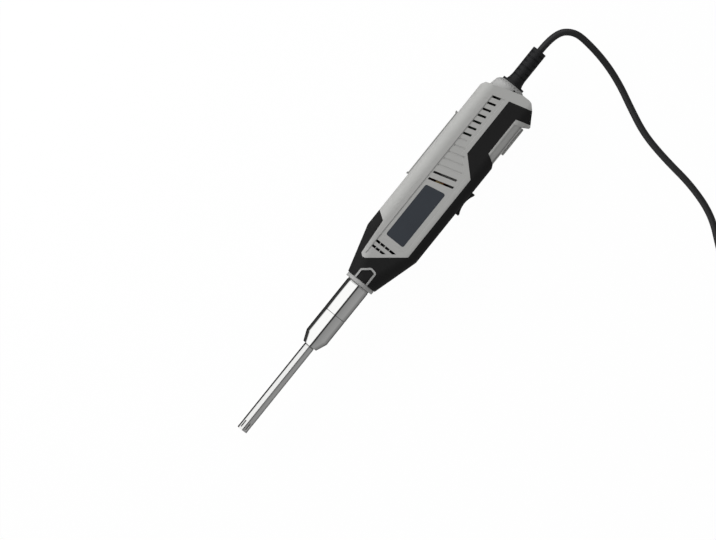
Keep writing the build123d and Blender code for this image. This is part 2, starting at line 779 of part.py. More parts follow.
def label_form(shrink):
    """The label plates' form, both sides at once, from the panel's face inwards."""
    with BuildPart() as form:
        add(hull(PANEL_DEPTH))
        add(hull(PANEL_DEPTH + LABEL_T), mode=Mode.SUBTRACT)
        add(column(LABEL_OUTLINE, shrink), mode=Mode.INTERSECT)
        fillet(form.edges().filter_by(Axis.Z), LABEL_CORNER_R)
    return form.part


with BuildPart() as shell:
    add(hull(0))
    add(grip_layer.part, mode=Mode.SUBTRACT)
    add(skin(PANEL, PANEL_DEPTH), mode=Mode.SUBTRACT)
    add(skin(WINDOW_PANEL, WINDOW_DEPTH), mode=Mode.SUBTRACT)
    add(label_form(0), mode=Mode.SUBTRACT)
    add(chamber(NOSE_X + NOSE_WALL, FRONT_BULKHEAD[0]), mode=Mode.SUBTRACT)
    add(chamber(FRONT_BULKHEAD[1], REAR_BULKHEAD[0]), mode=Mode.SUBTRACT)
    add(chamber(REAR_BULKHEAD[1], TAIL_X), mode=Mode.SUBTRACT)
    # screw posts
    with BuildSketch(Plane.XY):
        with Locations(*SCREW_SPOTS):
            Circle(POST_R)
    posts = extrude(amount=FAR, both=True, mode=Mode.PRIVATE)
    add(posts.intersect(hull(GRIP_T)))
    # ribs that hold the switch body
    rib_middle = SWITCH_BODY_X + SWITCH_BODY_LENGTH / 2
    rib_start = SWITCH_BODY_W / 2 + LAY_GAP
    for z_span in ((-BODY_T / 2, -rib_start), (rib_start, BODY_T / 2)):
        rib = block(
            (rib_middle - SWITCH_RIB_W / 2, rib_middle + SWITCH_RIB_W / 2),
            (SWITCH_LOW_Y, SWITCH_LOW_Y + SWITCH_BODY_H),
            z_span,
        )
        add(rib.intersect(hull(GRIP_T)))
    # spindle, bearing and shaft bores
    add(ring(NOSE_X, NOSE_X + NOSE_WALL, NOSE_SPIGOT_R + SEAT_GAP), mode=Mode.SUBTRACT)
    add(ring(FRONT_BULKHEAD[0], FRONT_BEARING_X, FRONT_BEARING_R - BULKHEAD_LIP_R), mode=Mode.SUBTRACT)
    add(ring(FRONT_BEARING_X, FRONT_BULKHEAD[1], FRONT_BEARING_R), mode=Mode.SUBTRACT)
    add(ring(REAR_BULKHEAD[0], REAR_BEARING_X, REAR_BEARING_R - BULKHEAD_LIP_R), mode=Mode.SUBTRACT)
    add(ring(REAR_BEARING_X, REAR_BULKHEAD[1], REAR_BEARING_R), mode=Mode.SUBTRACT)
    # seat of the cord collar
    add(ring(COLLAR_X, TAIL_X + WALL, COLLAR_R, y=CORD_Y), mode=Mode.SUBTRACT)
    # way of the switch link through the bulkhead and of its stem through the wall
    link_way = block(
        (REAR_BULKHEAD[0], REAR_BULKHEAD[1]),
        (-CAVITY_Y, LINK_Y + LINK_T + MOVE_GAP),
        (-LINK_W / 2 - MOVE_GAP, LINK_W / 2 + MOVE_GAP),
    )
    add(link_way, mode=Mode.SUBTRACT)
    stem_x = (BUTTON_FRONT + BUTTON_REAR) / 2
    stem_way = block(
        (stem_x - STEM_LENGTH / 2 - SWITCH_TRAVEL - MOVE_GAP, stem_x + STEM_LENGTH / 2 + MOVE_GAP),
        (-BODY_H / 2, -CAVITY_Y),
        (-STEM_W / 2 - MOVE_GAP, STEM_W / 2 + MOVE_GAP),
    )
    add(stem_way, mode=Mode.SUBTRACT)
    # way of the dial's shaft
    with BuildSketch(Plane.XZ.offset(-DIAL_FLAT_Y)):
        with Locations((DIAL_X, 0)):
            Circle(DIAL_SHAFT_R + MOVE_GAP)
    extrude(amount=-WALL, mode=Mode.SUBTRACT)
    add(sunk(VENT_OUTLINES, WALL + LAY_GAP), mode=Mode.SUBTRACT)
    add(sunk(FRONT_ROWS, PANEL_DEPTH + CROSSBAR_SUNK), mode=Mode.SUBTRACT)
    add(sunk(LONG_OUTLINES, LONG_VENT_DEPTH), mode=Mode.SUBTRACT)
    add(sunk(RIB_OUTLINES, PANEL_DEPTH + RIB_DEPTH), mode=Mode.SUBTRACT)

with BuildPart() as left_housing:
    add(shell.part)
    split(bisect_by=Plane.XY, keep=Keep.TOP)
    # seat of the lock spring, with the pin's hole
    seat = chamber(NOSE_X + NOSE_WALL, FRONT_BULKHEAD[0]).intersect(
        block((NOSE_X, FRONT_BULKHEAD[0]), (-FAR, FAR), (LOCK_SEAT_Z, LOCK_SEAT_Z + LOCK_SEAT_T))
    )
    add(seat)
    with BuildSketch(Plane.XY):
        with Locations((LOCK_X, 0)):
            Circle(LOCK_PIN_R + MOVE_GAP)
    extrude(amount=LOCK_BUTTON_Z, mode=Mode.SUBTRACT)
    bezel_way = column(LOCK_OUTLINE, corner=LOCK_CORNER_R).intersect(
        block((NOSE_X, SHOULDER_X), (-FAR, FAR), (LOCK_BEZEL_Z, FAR))
    )
    add(bezel_way, mode=Mode.SUBTRACT)
    with BuildSketch(Plane.XY):
        with Locations(*SCREW_SPOTS):
            Circle(SCREW_R)
    extrude(amount=SCREW_END_Z, mode=Mode.SUBTRACT)
save(left_housing, "left_housing")

with BuildPart() as right_housing:
    add(shell.part)
    split(bisect_by=Plane.XY, keep=Keep.BOTTOM)
    # pad under the cord clamp
    pad_z = -CORD_D / 2
    add(
        block(
            (CLAMP_X, CLAMP_X + CLAMP_LENGTH),
            (CORD_Y - CLAMP_HALF, CORD_Y + CLAMP_HALF),
            (-BODY_T / 2 + WALL, pad_z),
        )
    )
    with BuildSketch(Plane.XY.offset(pad_z)):
        with Locations(
            (CLAMP_X + CLAMP_LENGTH / 2, CORD_Y - CLAMP_SCREW_Y),
            (CLAMP_X + CLAMP_LENGTH / 2, CORD_Y + CLAMP_SCREW_Y),
        ):
            Circle(CLAMP_SCREW_R)
    extrude(amount=-CLAMP_SCREW_LENGTH, mode=Mode.SUBTRACT)
    with BuildSketch(Plane.XY):
        with Locations(*SCREW_SPOTS):
            Circle(SCREW_R)
    extrude(amount=SCREW_HEAD_Z, mode=Mode.SUBTRACT)
    with BuildSketch(Plane.XY.offset(SCREW_HEAD_Z)):
        with Locations(*SCREW_SPOTS):
            Circle(SCREW_HEAD_R + SEAT_GAP)
    extrude(amount=-BODY_T, mode=Mode.SUBTRACT)
save(right_housing, "right_housing")

# opening in the overmould for the slide button
button_way = block(
    (BUTTON_FRONT - SWITCH_TRAVEL - MOVE_GAP, BUTTON_REAR + MOVE_GAP),
    (-BODY_H, 0),
    (-BUTTON_W / 2 - MOVE_GAP, BUTTON_W / 2 + MOVE_GAP),
)

with BuildPart() as left_grip:
    add(grip_layer.part)
    split(bisect_by=Plane.XY, keep=Keep.TOP)
    add(button_way, mode=Mode.SUBTRACT)
    add(column(LOCK_OUTLINE, corner=LOCK_CORNER_R), mode=Mode.SUBTRACT)
save(left_grip, "left_grip")

with BuildPart() as right_grip:
    add(grip_layer.part)
    split(bisect_by=Plane.XY, keep=Keep.BOTTOM)
    add(button_way, mode=Mode.SUBTRACT)
    with BuildSketch(Plane.XY.offset(SCREW_HEAD_Z)):
        with Locations(*SCREW_SPOTS):
            Circle(SCREW_HEAD_R + SEAT_GAP)
    extrude(amount=-BODY_T, mode=Mode.SUBTRACT)
save(right_grip, "right_grip")

for side, keep_side in (("left", Keep.TOP), ("right", Keep.BOTTOM)):
    with BuildPart() as label_plate:
        add(label_form(SEAT_GAP))
        split(bisect_by=Plane.XY, keep=keep_side)
    save(label_plate, f"{side}_label_plate")

with BuildPart() as housing_screws:
    with BuildSketch(Plane.XY.offset(SCREW_HEAD_Z)):
        with Locations(*SCREW_SPOTS):
            Circle(SCREW_R)
    extrude(amount=SCREW_END_Z - SCREW_HEAD_Z)
    with BuildSketch(Plane.XY.offset(SCREW_HEAD_Z)):
        with Locations(*SCREW_SPOTS):
            Circle(SCREW_HEAD_R)
    extrude(amount=-SCREW_HEAD_T)
save(housing_screws, "housing_screws")

with BuildPart() as top_plate:
    plate_y = BODY_H / 2
    with BuildSketch(Plane.XY):
        with BuildLine():
            Polyline(
                (PLATE_FRONT, plate_y),
                (PLATE_FRONT - PLATE_LIP / 2, plate_y + PLATE_T + PLATE_LIP),
                (PLATE_FRONT + PLATE_LIP_LENGTH / 2, plate_y + PLATE_T + PLATE_LIP),
                (PLATE_FRONT + PLATE_LIP_LENGTH, plate_y + PLATE_T),
                (PLATE_REAR - PLATE_LIP_LENGTH, plate_y + PLATE_T),
                (PLATE_REAR - PLATE_LIP_LENGTH / 2, plate_y + PLATE_T + PLATE_LIP),
                (PLATE_REAR + PLATE_LIP / 2, plate_y + PLATE_T + PLATE_LIP),
                (PLATE_REAR, plate_y),
                close=True,
            )
        make_face()
    extrude(amount=PLATE_W / 2, both=True)
save(top_plate, "top_plate")

# ================================================================ spindle lock
with BuildPart() as lock_bezel:
    add(hull(-LOCK_BEZEL_PROUD))
    add(column(LOCK_OUTLINE, SEAT_GAP, LOCK_CORNER_R), mode=Mode.INTERSECT)
    add(column(LOCK_OPEN, LOCK_BEZEL_W, LOCK_CORNER_R / 2), mode=Mode.SUBTRACT)
    split(bisect_by=Plane.XY.offset(LOCK_BEZEL_Z), keep=Keep.TOP)
save(lock_bezel, "lock_bezel")

with BuildPart() as lock_button:
    add(hull(LOCK_BEZEL_PROUD / 2))
    add(column(LOCK_OPEN, LOCK_BEZEL_W + MOVE_GAP, LOCK_CORNER_R / 2), mode=Mode.INTERSECT)
    split(bisect_by=Plane.YZ.offset(NOSE_X + MOVE_GAP), keep=Keep.TOP)
    split(bisect_by=Plane.XY.offset(LOCK_BUTTON_Z), keep=Keep.TOP)
    with BuildSketch(Plane.XY.offset(LOCK_COLLAR_R + MOVE_GAP)):
        with Locations((LOCK_X, 0)):
            Circle(LOCK_PIN_R)
    extrude(amount=LOCK_BUTTON_Z - LOCK_COLLAR_R)
save(lock_button, "lock_button")

with BuildPart() as lock_spring:
    seat_top = LOCK_SEAT_Z + LOCK_SEAT_T
    add(
        spring(
            LOCK_SPRING_R,
            LOCK_SPRING_WIRE,
            LOCK_BUTTON_Z - seat_top,
            LOCK_SPRING_TURNS,
            Plane((LOCK_X, 0, seat_top)),
        )
    )
save(lock_spring, "lock_spring")

# ================================================================ motor
with BuildPart() as motor_coupling:
    coupling_end = MOTOR_COUPLING_X + MOTOR_COUPLING_LENGTH
    add(ring(MOTOR_COUPLING_X, coupling_end, MOTOR_COUPLING_R))
    add(ring(MOTOR_COUPLING_X, SPINDLE_END, SPINDLE_R), mode=Mode.SUBTRACT)
    add(ring(SPINDLE_END, coupling_end, MOTOR_SHAFT_R), mode=Mode.SUBTRACT)
save(motor_coupling, "motor_coupling")

with BuildPart() as motor_shaft:
    add(ring(MOTOR_SHAFT_X, MOTOR_SHAFT_END, MOTOR_SHAFT_R))
save(motor_shaft, "motor_shaft")

with BuildPart() as fan:
    fan_end = FAN_X + FAN_LENGTH
    add(ring(FAN_X, fan_end, FAN_HUB_R))
    add(ring(fan_end - FAN_DISC_T, fan_end, FAN_R))
    blade = block((FAN_X, fan_end), (FAN_HUB_R - EDGE_BREAK, FAN_R - EDGE_BREAK), (0, FAN_DISC_T))
    for number in range(FAN_BLADES):
        add(blade.rotate(Axis.X, 360 / FAN_BLADES * number))
    add(ring(FAN_X, fan_end, MOTOR_SHAFT_R), mode=Mode.SUBTRACT)
save(fan, "fan")

with BuildPart() as fan_baffle:
    add(hull(WALL + LAY_GAP))
    split(bisect_by=Plane.YZ.offset(BAFFLE_X), keep=Keep.TOP)
    split(bisect_by=Plane.YZ.offset(BAFFLE_X + BAFFLE_T), keep=Keep.BOTTOM)
    add(ring(BAFFLE_X, BAFFLE_X + BAFFLE_T, BAFFLE_R), mode=Mode.SUBTRACT)
save(fan_baffle, "fan_baffle")


def sector(start, end, inner, outer, angle):
    """Part of a ring on the X axis, an angle wide on each side of +Y."""
    reach = outer * 2
    edge = Vector(reach, 0).rotate(Axis.Z, angle)
    far = Vector(reach, 0).rotate(Axis.Z, angle / 2)
    with BuildPart() as piece:
        with BuildSketch(Plane.YZ.offset(start)):
            Circle(outer)
            Circle(inner, mode=Mode.SUBTRACT)
            with BuildLine():
                Polyline((0, 0), (edge.X, -edge.Y), (far.X * 2, -far.Y * 2), (far.X * 2, far.Y * 2),
                         (edge.X, edge.Y), close=True)
            make_face(mode=Mode.INTERSECT)
        extrude(amount=end - start)
    return piece.part


with BuildPart() as saddle:
    coil_start, coil_stop = CORE_X - COIL_END, CORE_END + COIL_END
    add(sector(coil_start, coil_stop, COIL_IN_R, COIL_OUT_R, COIL_HALF_ANGLE))
    add(sector(CORE_X, CORE_END, COIL_IN_R - AIR_GAP, COIL_OUT_R + AIR_GAP, COIL_LEG_ANGLE), mode=Mode.SUBTRACT)

with BuildPart() as field_coils:
    for turn in (0, 180):
        add(saddle.part.rotate(Axis.X, turn))
save(field_coils, "field_coils")

with BuildPart() as field_core:
    add(hull(WALL + LAY_GAP))
    split(bisect_by=Plane.YZ.offset(CORE_X), keep=Keep.TOP)
    split(bisect_by=Plane.YZ.offset(CORE_END), keep=Keep.BOTTOM)
    add(ring(CORE_X, CORE_END, ARMATURE_R + AIR_GAP), mode=Mode.SUBTRACT)
    add(field_coils.part, mode=Mode.SUBTRACT)
    slot_mouth = sector(CORE_X, CORE_END, ARMATURE_R, COIL_OUT_R, COIL_HALF_ANGLE)
    pole = sector(CORE_X, CORE_END, ARMATURE_R, COIL_OUT_R, COIL_LEG_ANGLE)
    for turn in (0, 180):
        add((slot_mouth - pole).rotate(Axis.X, turn), mode=Mode.SUBTRACT)
save(field_core, "field_core")

with BuildPart() as armature_slots:
    slot = block(
        (CORE_X, CORE_END),
        (ARMATURE_R - ARMATURE_SLOT_DEPTH, ARMATURE_R),
        (-ARMATURE_SLOT_W / 2, ARMATURE_SLOT_W / 2),
    )
    for number in range(ARMATURE_SLOTS):
        add(slot.rotate(Axis.X, 360 / ARMATURE_SLOTS * number))

with BuildPart() as armature_core:
    add(ring(CORE_X, CORE_END, ARMATURE_R, MOTOR_SHAFT_R))
    add(armature_slots.part, mode=Mode.SUBTRACT)
save(armature_core, "armature_core")

with BuildPart() as armature_winding:
    add(ring(CORE_X - WINDING_END, CORE_X, WINDING_R, MOTOR_SHAFT_R))
    add(ring(CORE_END, CORE_END + WINDING_END, WINDING_R, MOTOR_SHAFT_R))
    add(armature_slots.part)
    outer_rims = armature_winding.edges().filter_by(GeomType.CIRCLE).filter_by(
        lambda rim: abs(rim.radius - WINDING_R) < EDGE_BREAK
        and not CORE_X - EDGE_BREAK < rim.center().X < CORE_END + EDGE_BREAK
    )
    fillet(outer_rims, 2.0)
    add(ring(CORE_X, CORE_END, ARMATURE_R + AIR_GAP, WINDING_R), mode=Mode.SUBTRACT)
save(armature_winding, "armature_winding")

with BuildPart() as commutator:
    commutator_end = COMMUTATOR_X + COMMUTATOR_LENGTH
    add(ring(COMMUTATOR_X, commutator_end, COMMUTATOR_R, MOTOR_SHAFT_R))
    groove = block(
        (COMMUTATOR_X, commutator_end),
        (COMMUTATOR_R - COMMUTATOR_GROOVE, COMMUTATOR_R + COMMUTATOR_GROOVE),
        (-COMMUTATOR_GROOVE / 2, COMMUTATOR_GROOVE / 2),
    )
    for number in range(COMMUTATOR_BARS):
        add(groove.rotate(Axis.X, 360 / COMMUTATOR_BARS * number), mode=Mode.SUBTRACT)
save(commutator, "commutator")

# ================================================================ brush gear
HOLDER_X = (BRUSH_X - BRUSH_W / 2 - HOLDER_WALL, BRUSH_X + BRUSH_W / 2 + HOLDER_WALL)
HOLDER_START_Z = BRUSH_Z + HOLDER_WALL
BRUSH_END_Z = BRUSH_Z + BRUSH_LENGTH

with BuildPart() as one_holder:
    add(block(HOLDER_X, (-BRUSH_H / 2 - HOLDER_WALL, BRUSH_H / 2 + HOLDER_WALL), (HOLDER_START_Z, HOLDER_END_Z)))
    add(
        block(
            (BRUSH_X - BRUSH_W / 2 - SEAT_GAP, BRUSH_X + BRUSH_W / 2 + SEAT_GAP),
            (-BRUSH_H / 2 - SEAT_GAP, BRUSH_H / 2 + SEAT_GAP),
            (HOLDER_START_Z, HOLDER_END_Z - HOLDER_WALL),
        ),
        mode=Mode.SUBTRACT,
    )

with BuildPart() as one_brush:
    add(
        block(
            (BRUSH_X - BRUSH_W / 2, BRUSH_X + BRUSH_W / 2),
            (-BRUSH_H / 2, BRUSH_H / 2),
            (0, BRUSH_END_Z),
        )
    )
    add(ring(HOLDER_X[0], HOLDER_X[1], BRUSH_Z), mode=Mode.SUBTRACT)

one_spring = spring(
    BRUSH_SPRING_R,
    BRUSH_SPRING_WIRE,
    HOLDER_END_Z - HOLDER_WALL - BRUSH_END_Z,
    BRUSH_SPRING_TURNS,
    Plane((BRUSH_X, 0, BRUSH_END_Z)),
)

for form, name in (
    (one_holder.part, "brush_holders"),
    (one_brush.part, "carbon_brushes"),
    (one_spring, "brush_springs"),
):
    with BuildPart() as brush_pair:
        add(form)
        add(form.rotate(Axis.X, 180))
    save(brush_pair, name)

# ================================================================ slide switch
with BuildPart() as slide_button:
    base_y = CORE_SURFACE_Y - MOVE_GAP
    with BuildSketch(Plane.XY):
        with BuildLine():
            Polyline((BUTTON_FRONT, BUTTON_TOP_Y), (BUTTON_FRONT, base_y), (BUTTON_REAR, base_y),
                     (BUTTON_REAR, BUTTON_TOP_Y), (BUTTON_REAR - GRIP_T, BUTTON_TOP_Y))
            ThreePointArc(
                (BUTTON_REAR - GRIP_T, BUTTON_TOP_Y),
                (stem_x, BUTTON_DIP_Y),
                (BUTTON_FRONT + GRIP_T, BUTTON_TOP_Y),
            )
            Line((BUTTON_FRONT + GRIP_T, BUTTON_TOP_Y), (BUTTON_FRONT, BUTTON_TOP_Y))
        make_face()
    extrude(amount=BUTTON_W / 2, both=True)
    # grip ribs: grooves across the thumb hollow
    for number in range(BUTTON_RIB_COUNT):
        groove_x = stem_x + (number - (BUTTON_RIB_COUNT - 1) / 2) * BUTTON_RIB_PITCH
        groove = block(
            (groove_x - BUTTON_RIB_W / 2, groove_x + BUTTON_RIB_W / 2),
            (BUTTON_TOP_Y, BUTTON_DIP_Y + BUTTON_RIB_DEPTH),
            (GRIP_T - BUTTON_W / 2, BUTTON_W / 2 - GRIP_T),
        )
        add(groove, mode=Mode.SUBTRACT)
    add(
        block(
            (stem_x - STEM_LENGTH / 2, stem_x + STEM_LENGTH / 2),
            (base_y, LINK_Y),
            (-STEM_W / 2, STEM_W / 2),
        )
    )
save(slide_button, "slide_button")

with BuildPart() as switch_link:
    add(block((LINK_FRONT, LINK_REAR), (LINK_Y, LINK_Y + LINK_T), (-LINK_W / 2, LINK_W / 2)))
    add(
        block(
            (LINK_REAR - SWITCH_LEVER, LINK_REAR),
            (LINK_Y + LINK_T, LINK_Y + LINK_T + SWITCH_LEVER),
            (-LINK_W / 2, LINK_W / 2),
        )
    )
save(switch_link, "switch_link")

with BuildPart() as switch_body:
    add(
        block(
            (SWITCH_BODY_X, SWITCH_BODY_X + SWITCH_BODY_LENGTH),
            (SWITCH_LOW_Y, SWITCH_LOW_Y + SWITCH_BODY_H),
            (-SWITCH_BODY_W / 2, SWITCH_BODY_W / 2),
        )
    )
save(switch_body, "switch_body")

# ================================================================ speed control
with BuildPart() as speed_dial:
    with BuildSketch(Plane.XZ.offset(-DIAL_HIGH_Y)):
        with Locations((DIAL_X, 0)):
            Circle(DIAL_R)
    extrude(amount=DIAL_T)
    chamfer(speed_dial.faces().sort_by(Axis.Y)[0].edges(), EDGE_BREAK)
    notch = block(
        (DIAL_R - DIAL_NOTCH_DEPTH, DIAL_R + DIAL_NOTCH_DEPTH),
        (DIAL_HIGH_Y - DIAL_T, DIAL_HIGH_Y),
        (-DIAL_NOTCH_W / 2, DIAL_NOTCH_W / 2),
    )
    for number in range(DIAL_NOTCHES):
        turned_notch = notch.rotate(Axis.Y, 360 / DIAL_NOTCHES * number)
        add(Pos(DIAL_X, 0, 0) * turned_notch, mode=Mode.SUBTRACT)
save(speed_dial, "speed_dial")

with BuildPart() as dial_shaft:
    with BuildSketch(Plane.XZ.offset(-DIAL_SHAFT_END_Y)):
        with Locations((DIAL_X, 0)):
            Circle(DIAL_SHAFT_R)
    extrude(amount=DIAL_SHAFT_END_Y - DIAL_HIGH_Y)
save(dial_shaft, "dial_shaft")

with BuildPart() as potentiometer:
    half = POT_SIZE / 2
    add(block((DIAL_X - half, DIAL_X + half), (POT_LOW_Y, BOARD_Y), (-half, half)))
    with BuildSketch(Plane.XZ.offset(-DIAL_SHAFT_END_Y - MOVE_GAP)):
        with Locations((DIAL_X, 0)):
            Circle(DIAL_SHAFT_R + RUN_GAP)
    extrude(amount=POT_H, mode=Mode.SUBTRACT)
save(potentiometer, "potentiometer")

with BuildPart() as speed_board:
    board_half = CAVITY_Z - LAY_GAP
    add(block((BOARD_FRONT, BOARD_REAR), (BOARD_Y, BOARD_Y + BOARD_T), (-board_half, board_half)))
    add(block((DRIVER_FRONT, DRIVER_REAR), (BOARD_Y + BOARD_T, DRIVER_TOP_Y), (DRIVER_Z - BOARD_T, DRIVER_Z)))
save(speed_board, "speed_board")

with BuildPart() as suppression_capacitor:
    add(
        block(
            (BOARD_FRONT + LAY_GAP, BOARD_FRONT + LAY_GAP + CAPACITOR_LENGTH),
            (BOARD_Y + BOARD_T, BOARD_Y + BOARD_T + CAPACITOR_H),
            (-CAPACITOR_W / 2, CAPACITOR_W / 2),
        )
    )
save(suppression_capacitor, "suppression_capacitor")

# ================================================================ cord exit
with BuildPart() as tail_collar:
    add(
        turned(
            [
                (COLLAR_X, COLLAR_BORE_R),
                (COLLAR_X, COLLAR_R),
                (COLLAR_SKIRT[1][0], COLLAR_R),
                (COLLAR_END, COLLAR_END_R),
                (COLLAR_END, COLLAR_BORE_R),
            ],
            CORD_Y,
        )
    )
    skirt_core = [(COLLAR_END, COLLAR_END_R), (COLLAR_END, COLLAR_BORE_R), (COLLAR_X, COLLAR_BORE_R)]
    add(turned(COLLAR_SKIRT + skirt_core, CORD_Y) - hull(0))
    notch = block(
        (COLLAR_END - COLLAR_NOTCH_LENGTH, COLLAR_END),
        (COLLAR_NOTCH_R, COLLAR_SKIRT[0][1]),
        (-COLLAR_NOTCH_W / 2, COLLAR_NOTCH_W / 2),
    )
    for number in range(COLLAR_NOTCHES):
        turned_notch = notch.rotate(Axis.X, 360 / COLLAR_NOTCHES * number)
        add(Pos(0, CORD_Y, 0) * turned_notch, mode=Mode.SUBTRACT)
    with BuildSketch(Plane.XY.offset(COLLAR_BORE_R)):
        with Locations(COLLAR_HOLE):
            Circle(COLLAR_HOLE_R)
    extrude(amount=COLLAR_R, mode=Mode.SUBTRACT)
save(tail_collar, "tail_collar")

with BuildPart() as cord_boot:
    boot_start = COLLAR_END + FLANGE_T
    ring_start = BOOT_END - BOOT_RING_COUNT * BOOT_RING_PITCH
    bore = CORD_D / 2 + SEAT_GAP
    profile = [(COLLAR_X, bore), (COLLAR_X, COLLAR_BORE_R - SEAT_GAP), (COLLAR_END, COLLAR_BORE_R - SEAT_GAP)]
    profile += [(COLLAR_END, FLANGE_R), (boot_start, FLANGE_R), (boot_start, BOOT_R + GRIP_T)]
    profile += [(boot_start + BOOT_FLARE / 2, BOOT_R + GRIP_T / 3)]
    profile += [(ring_start, BOOT_R), (BOOT_END, BOOT_R), (BOOT_END, bore)]
    add(turned(profile, CORD_Y))
    # each groove is broken by a bridge on both edges, and every other one on both faces too
    for number in range(BOOT_RING_COUNT):
        x = ring_start + number * BOOT_RING_PITCH
        slot = ring(x, x + BOOT_RING_GAP, BOOT_R + GRIP_T, BOOT_R - BOOT_RING_DEPTH)
        bridge = block((x, x + BOOT_RING_GAP), (-FAR, FAR), (-BOOT_BRIDGE_W / 2, BOOT_BRIDGE_W / 2))
        slot = slot - bridge
        if number % 2:
            slot = slot - bridge.rotate(Axis.X, 90)
        add(Pos(0, CORD_Y, 0) * slot, mode=Mode.SUBTRACT)
save(cord_boot, "cord_boot")

with BuildPart() as inner_lead:
    add(ring(LEAD_START, BOOT_END, CORD_D / 2, y=CORD_Y))
save(inner_lead, "inner_lead")

CLAMP_MIDDLE = CLAMP_X + CLAMP_LENGTH / 2
with BuildPart() as cord_clamp:
    add(
        block(
            (CLAMP_X, CLAMP_X + CLAMP_LENGTH),
            (CORD_Y - CLAMP_HALF, CORD_Y + CLAMP_HALF),
            (CORD_D / 2, CORD_D / 2 + CLAMP_T),
        )
    )
    with BuildSketch(Plane.XY):
        with Locations((CLAMP_MIDDLE, CORD_Y - CLAMP_SCREW_Y), (CLAMP_MIDDLE, CORD_Y + CLAMP_SCREW_Y)):
            Circle(CLAMP_SCREW_R)
    extrude(amount=BODY_T / 2, mode=Mode.SUBTRACT)
save(cord_clamp, "cord_clamp")

with BuildPart() as clamp_screws:
    clamp_top = CORD_D / 2 + CLAMP_T
    with BuildSketch(Plane.XY.offset(clamp_top)):
        with Locations((CLAMP_MIDDLE, CORD_Y - CLAMP_SCREW_Y), (CLAMP_MIDDLE, CORD_Y + CLAMP_SCREW_Y)):
            Circle(CLAMP_SCREW_R)
    extrude(amount=-(clamp_top + CORD_D / 2 + CLAMP_SCREW_LENGTH))
    with BuildSketch(Plane.XY.offset(clamp_top)):
        with Locations((CLAMP_MIDDLE, CORD_Y - CLAMP_SCREW_Y), (CLAMP_MIDDLE, CORD_Y + CLAMP_SCREW_Y)):
            Circle(CLAMP_SCREW_HEAD_R)
    extrude(amount=CLAMP_SCREW_HEAD_T)
save(clamp_screws, "clamp_screws")

# ================================================================ cord, coil and plug
with BuildPart() as power_cord:
    add(cord_tube(LEAD_POINTS))
save(power_cord, "power_cord")

with BuildPart() as cord_tail:
    add(cord_tube(TAIL_POINTS))
save(cord_tail, "cord_tail")

COIL_LOW = FLOOR_Z + TIE_T
with BuildPart() as cord_coil:
    with BuildSketch(Plane.XZ.offset(-COIL_CENTRE[1])):
        with Locations((COIL_CENTRE[0] + COIL_MEAN_R, COIL_LOW + COIL_SECTION_H / 2)):
            RectangleRounded(COIL_SECTION_W, COIL_SECTION_H, CORD_D / 2)
    revolve(axis=Axis((*COIL_CENTRE, 0), (0, 0, 1)))
save(cord_coil, "cord_coil")

with BuildPart() as coil_tie:
    tie_x = COIL_CENTRE[0] + COIL_MEAN_R
    tie_middle = COIL_LOW + COIL_SECTION_H / 2
    reach = COIL_SECTION_W + 2 * TIE_T
    with BuildSketch(Plane.XZ.offset(-COIL_CENTRE[1])):
        with Locations((tie_x, tie_middle)):
            RectangleRounded(reach, COIL_SECTION_H + 2 * TIE_T, CORD_D / 2 + TIE_T)
            RectangleRounded(COIL_SECTION_W, COIL_SECTION_H, CORD_D / 2, mode=Mode.SUBTRACT)
    extrude(amount=TIE_W / 2, both=True)
save(coil_tie, "coil_tie")

plug_start = Vector(*TAIL_POINTS[-1])
heading = Vector(TAIL_POINTS[-1][0] - TAIL_POINTS[-2][0], TAIL_POINTS[-1][1] - TAIL_POINTS[-2][1], 0)
plug_plane = Plane(plug_start, x_dir=Vector(-heading.Y, heading.X, 0), z_dir=heading)
with BuildPart() as plug_body:
    with BuildSketch(plug_plane):
        RectangleRounded(CORD_D * 1.6, CORD_D * 1.5, CORD_D / 2)
    with BuildSketch(plug_plane.offset(PLUG_NECK)):
        RectangleRounded(PLUG_W * 0.7, PLUG_T, CORD_D / 2)
    loft(ruled=True)
    with BuildSketch(plug_plane.offset(PLUG_NECK)):
        RectangleRounded(PLUG_W, PLUG_T, CORD_D / 2)
    extrude(amount=PLUG_LENGTH - PLUG_NECK)
save(plug_body, "plug_body")

with BuildPart() as plug_pins:
    with BuildSketch(plug_plane.offset(PLUG_LENGTH)):
        with Locations((-PIN_PITCH / 2, 0), (PIN_PITCH / 2, 0)):
            Circle(PIN_R)
    extrude(amount=PIN_LENGTH)
save(plug_pins, "plug_pins")
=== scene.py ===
import logging
from dataclasses import dataclass
from enum import Enum
from math import asin, cos, degrees, pi, radians, sin
from typing import Optional, Sequence, Union

import bmesh
import bpy
from mathutils import Matrix, Vector


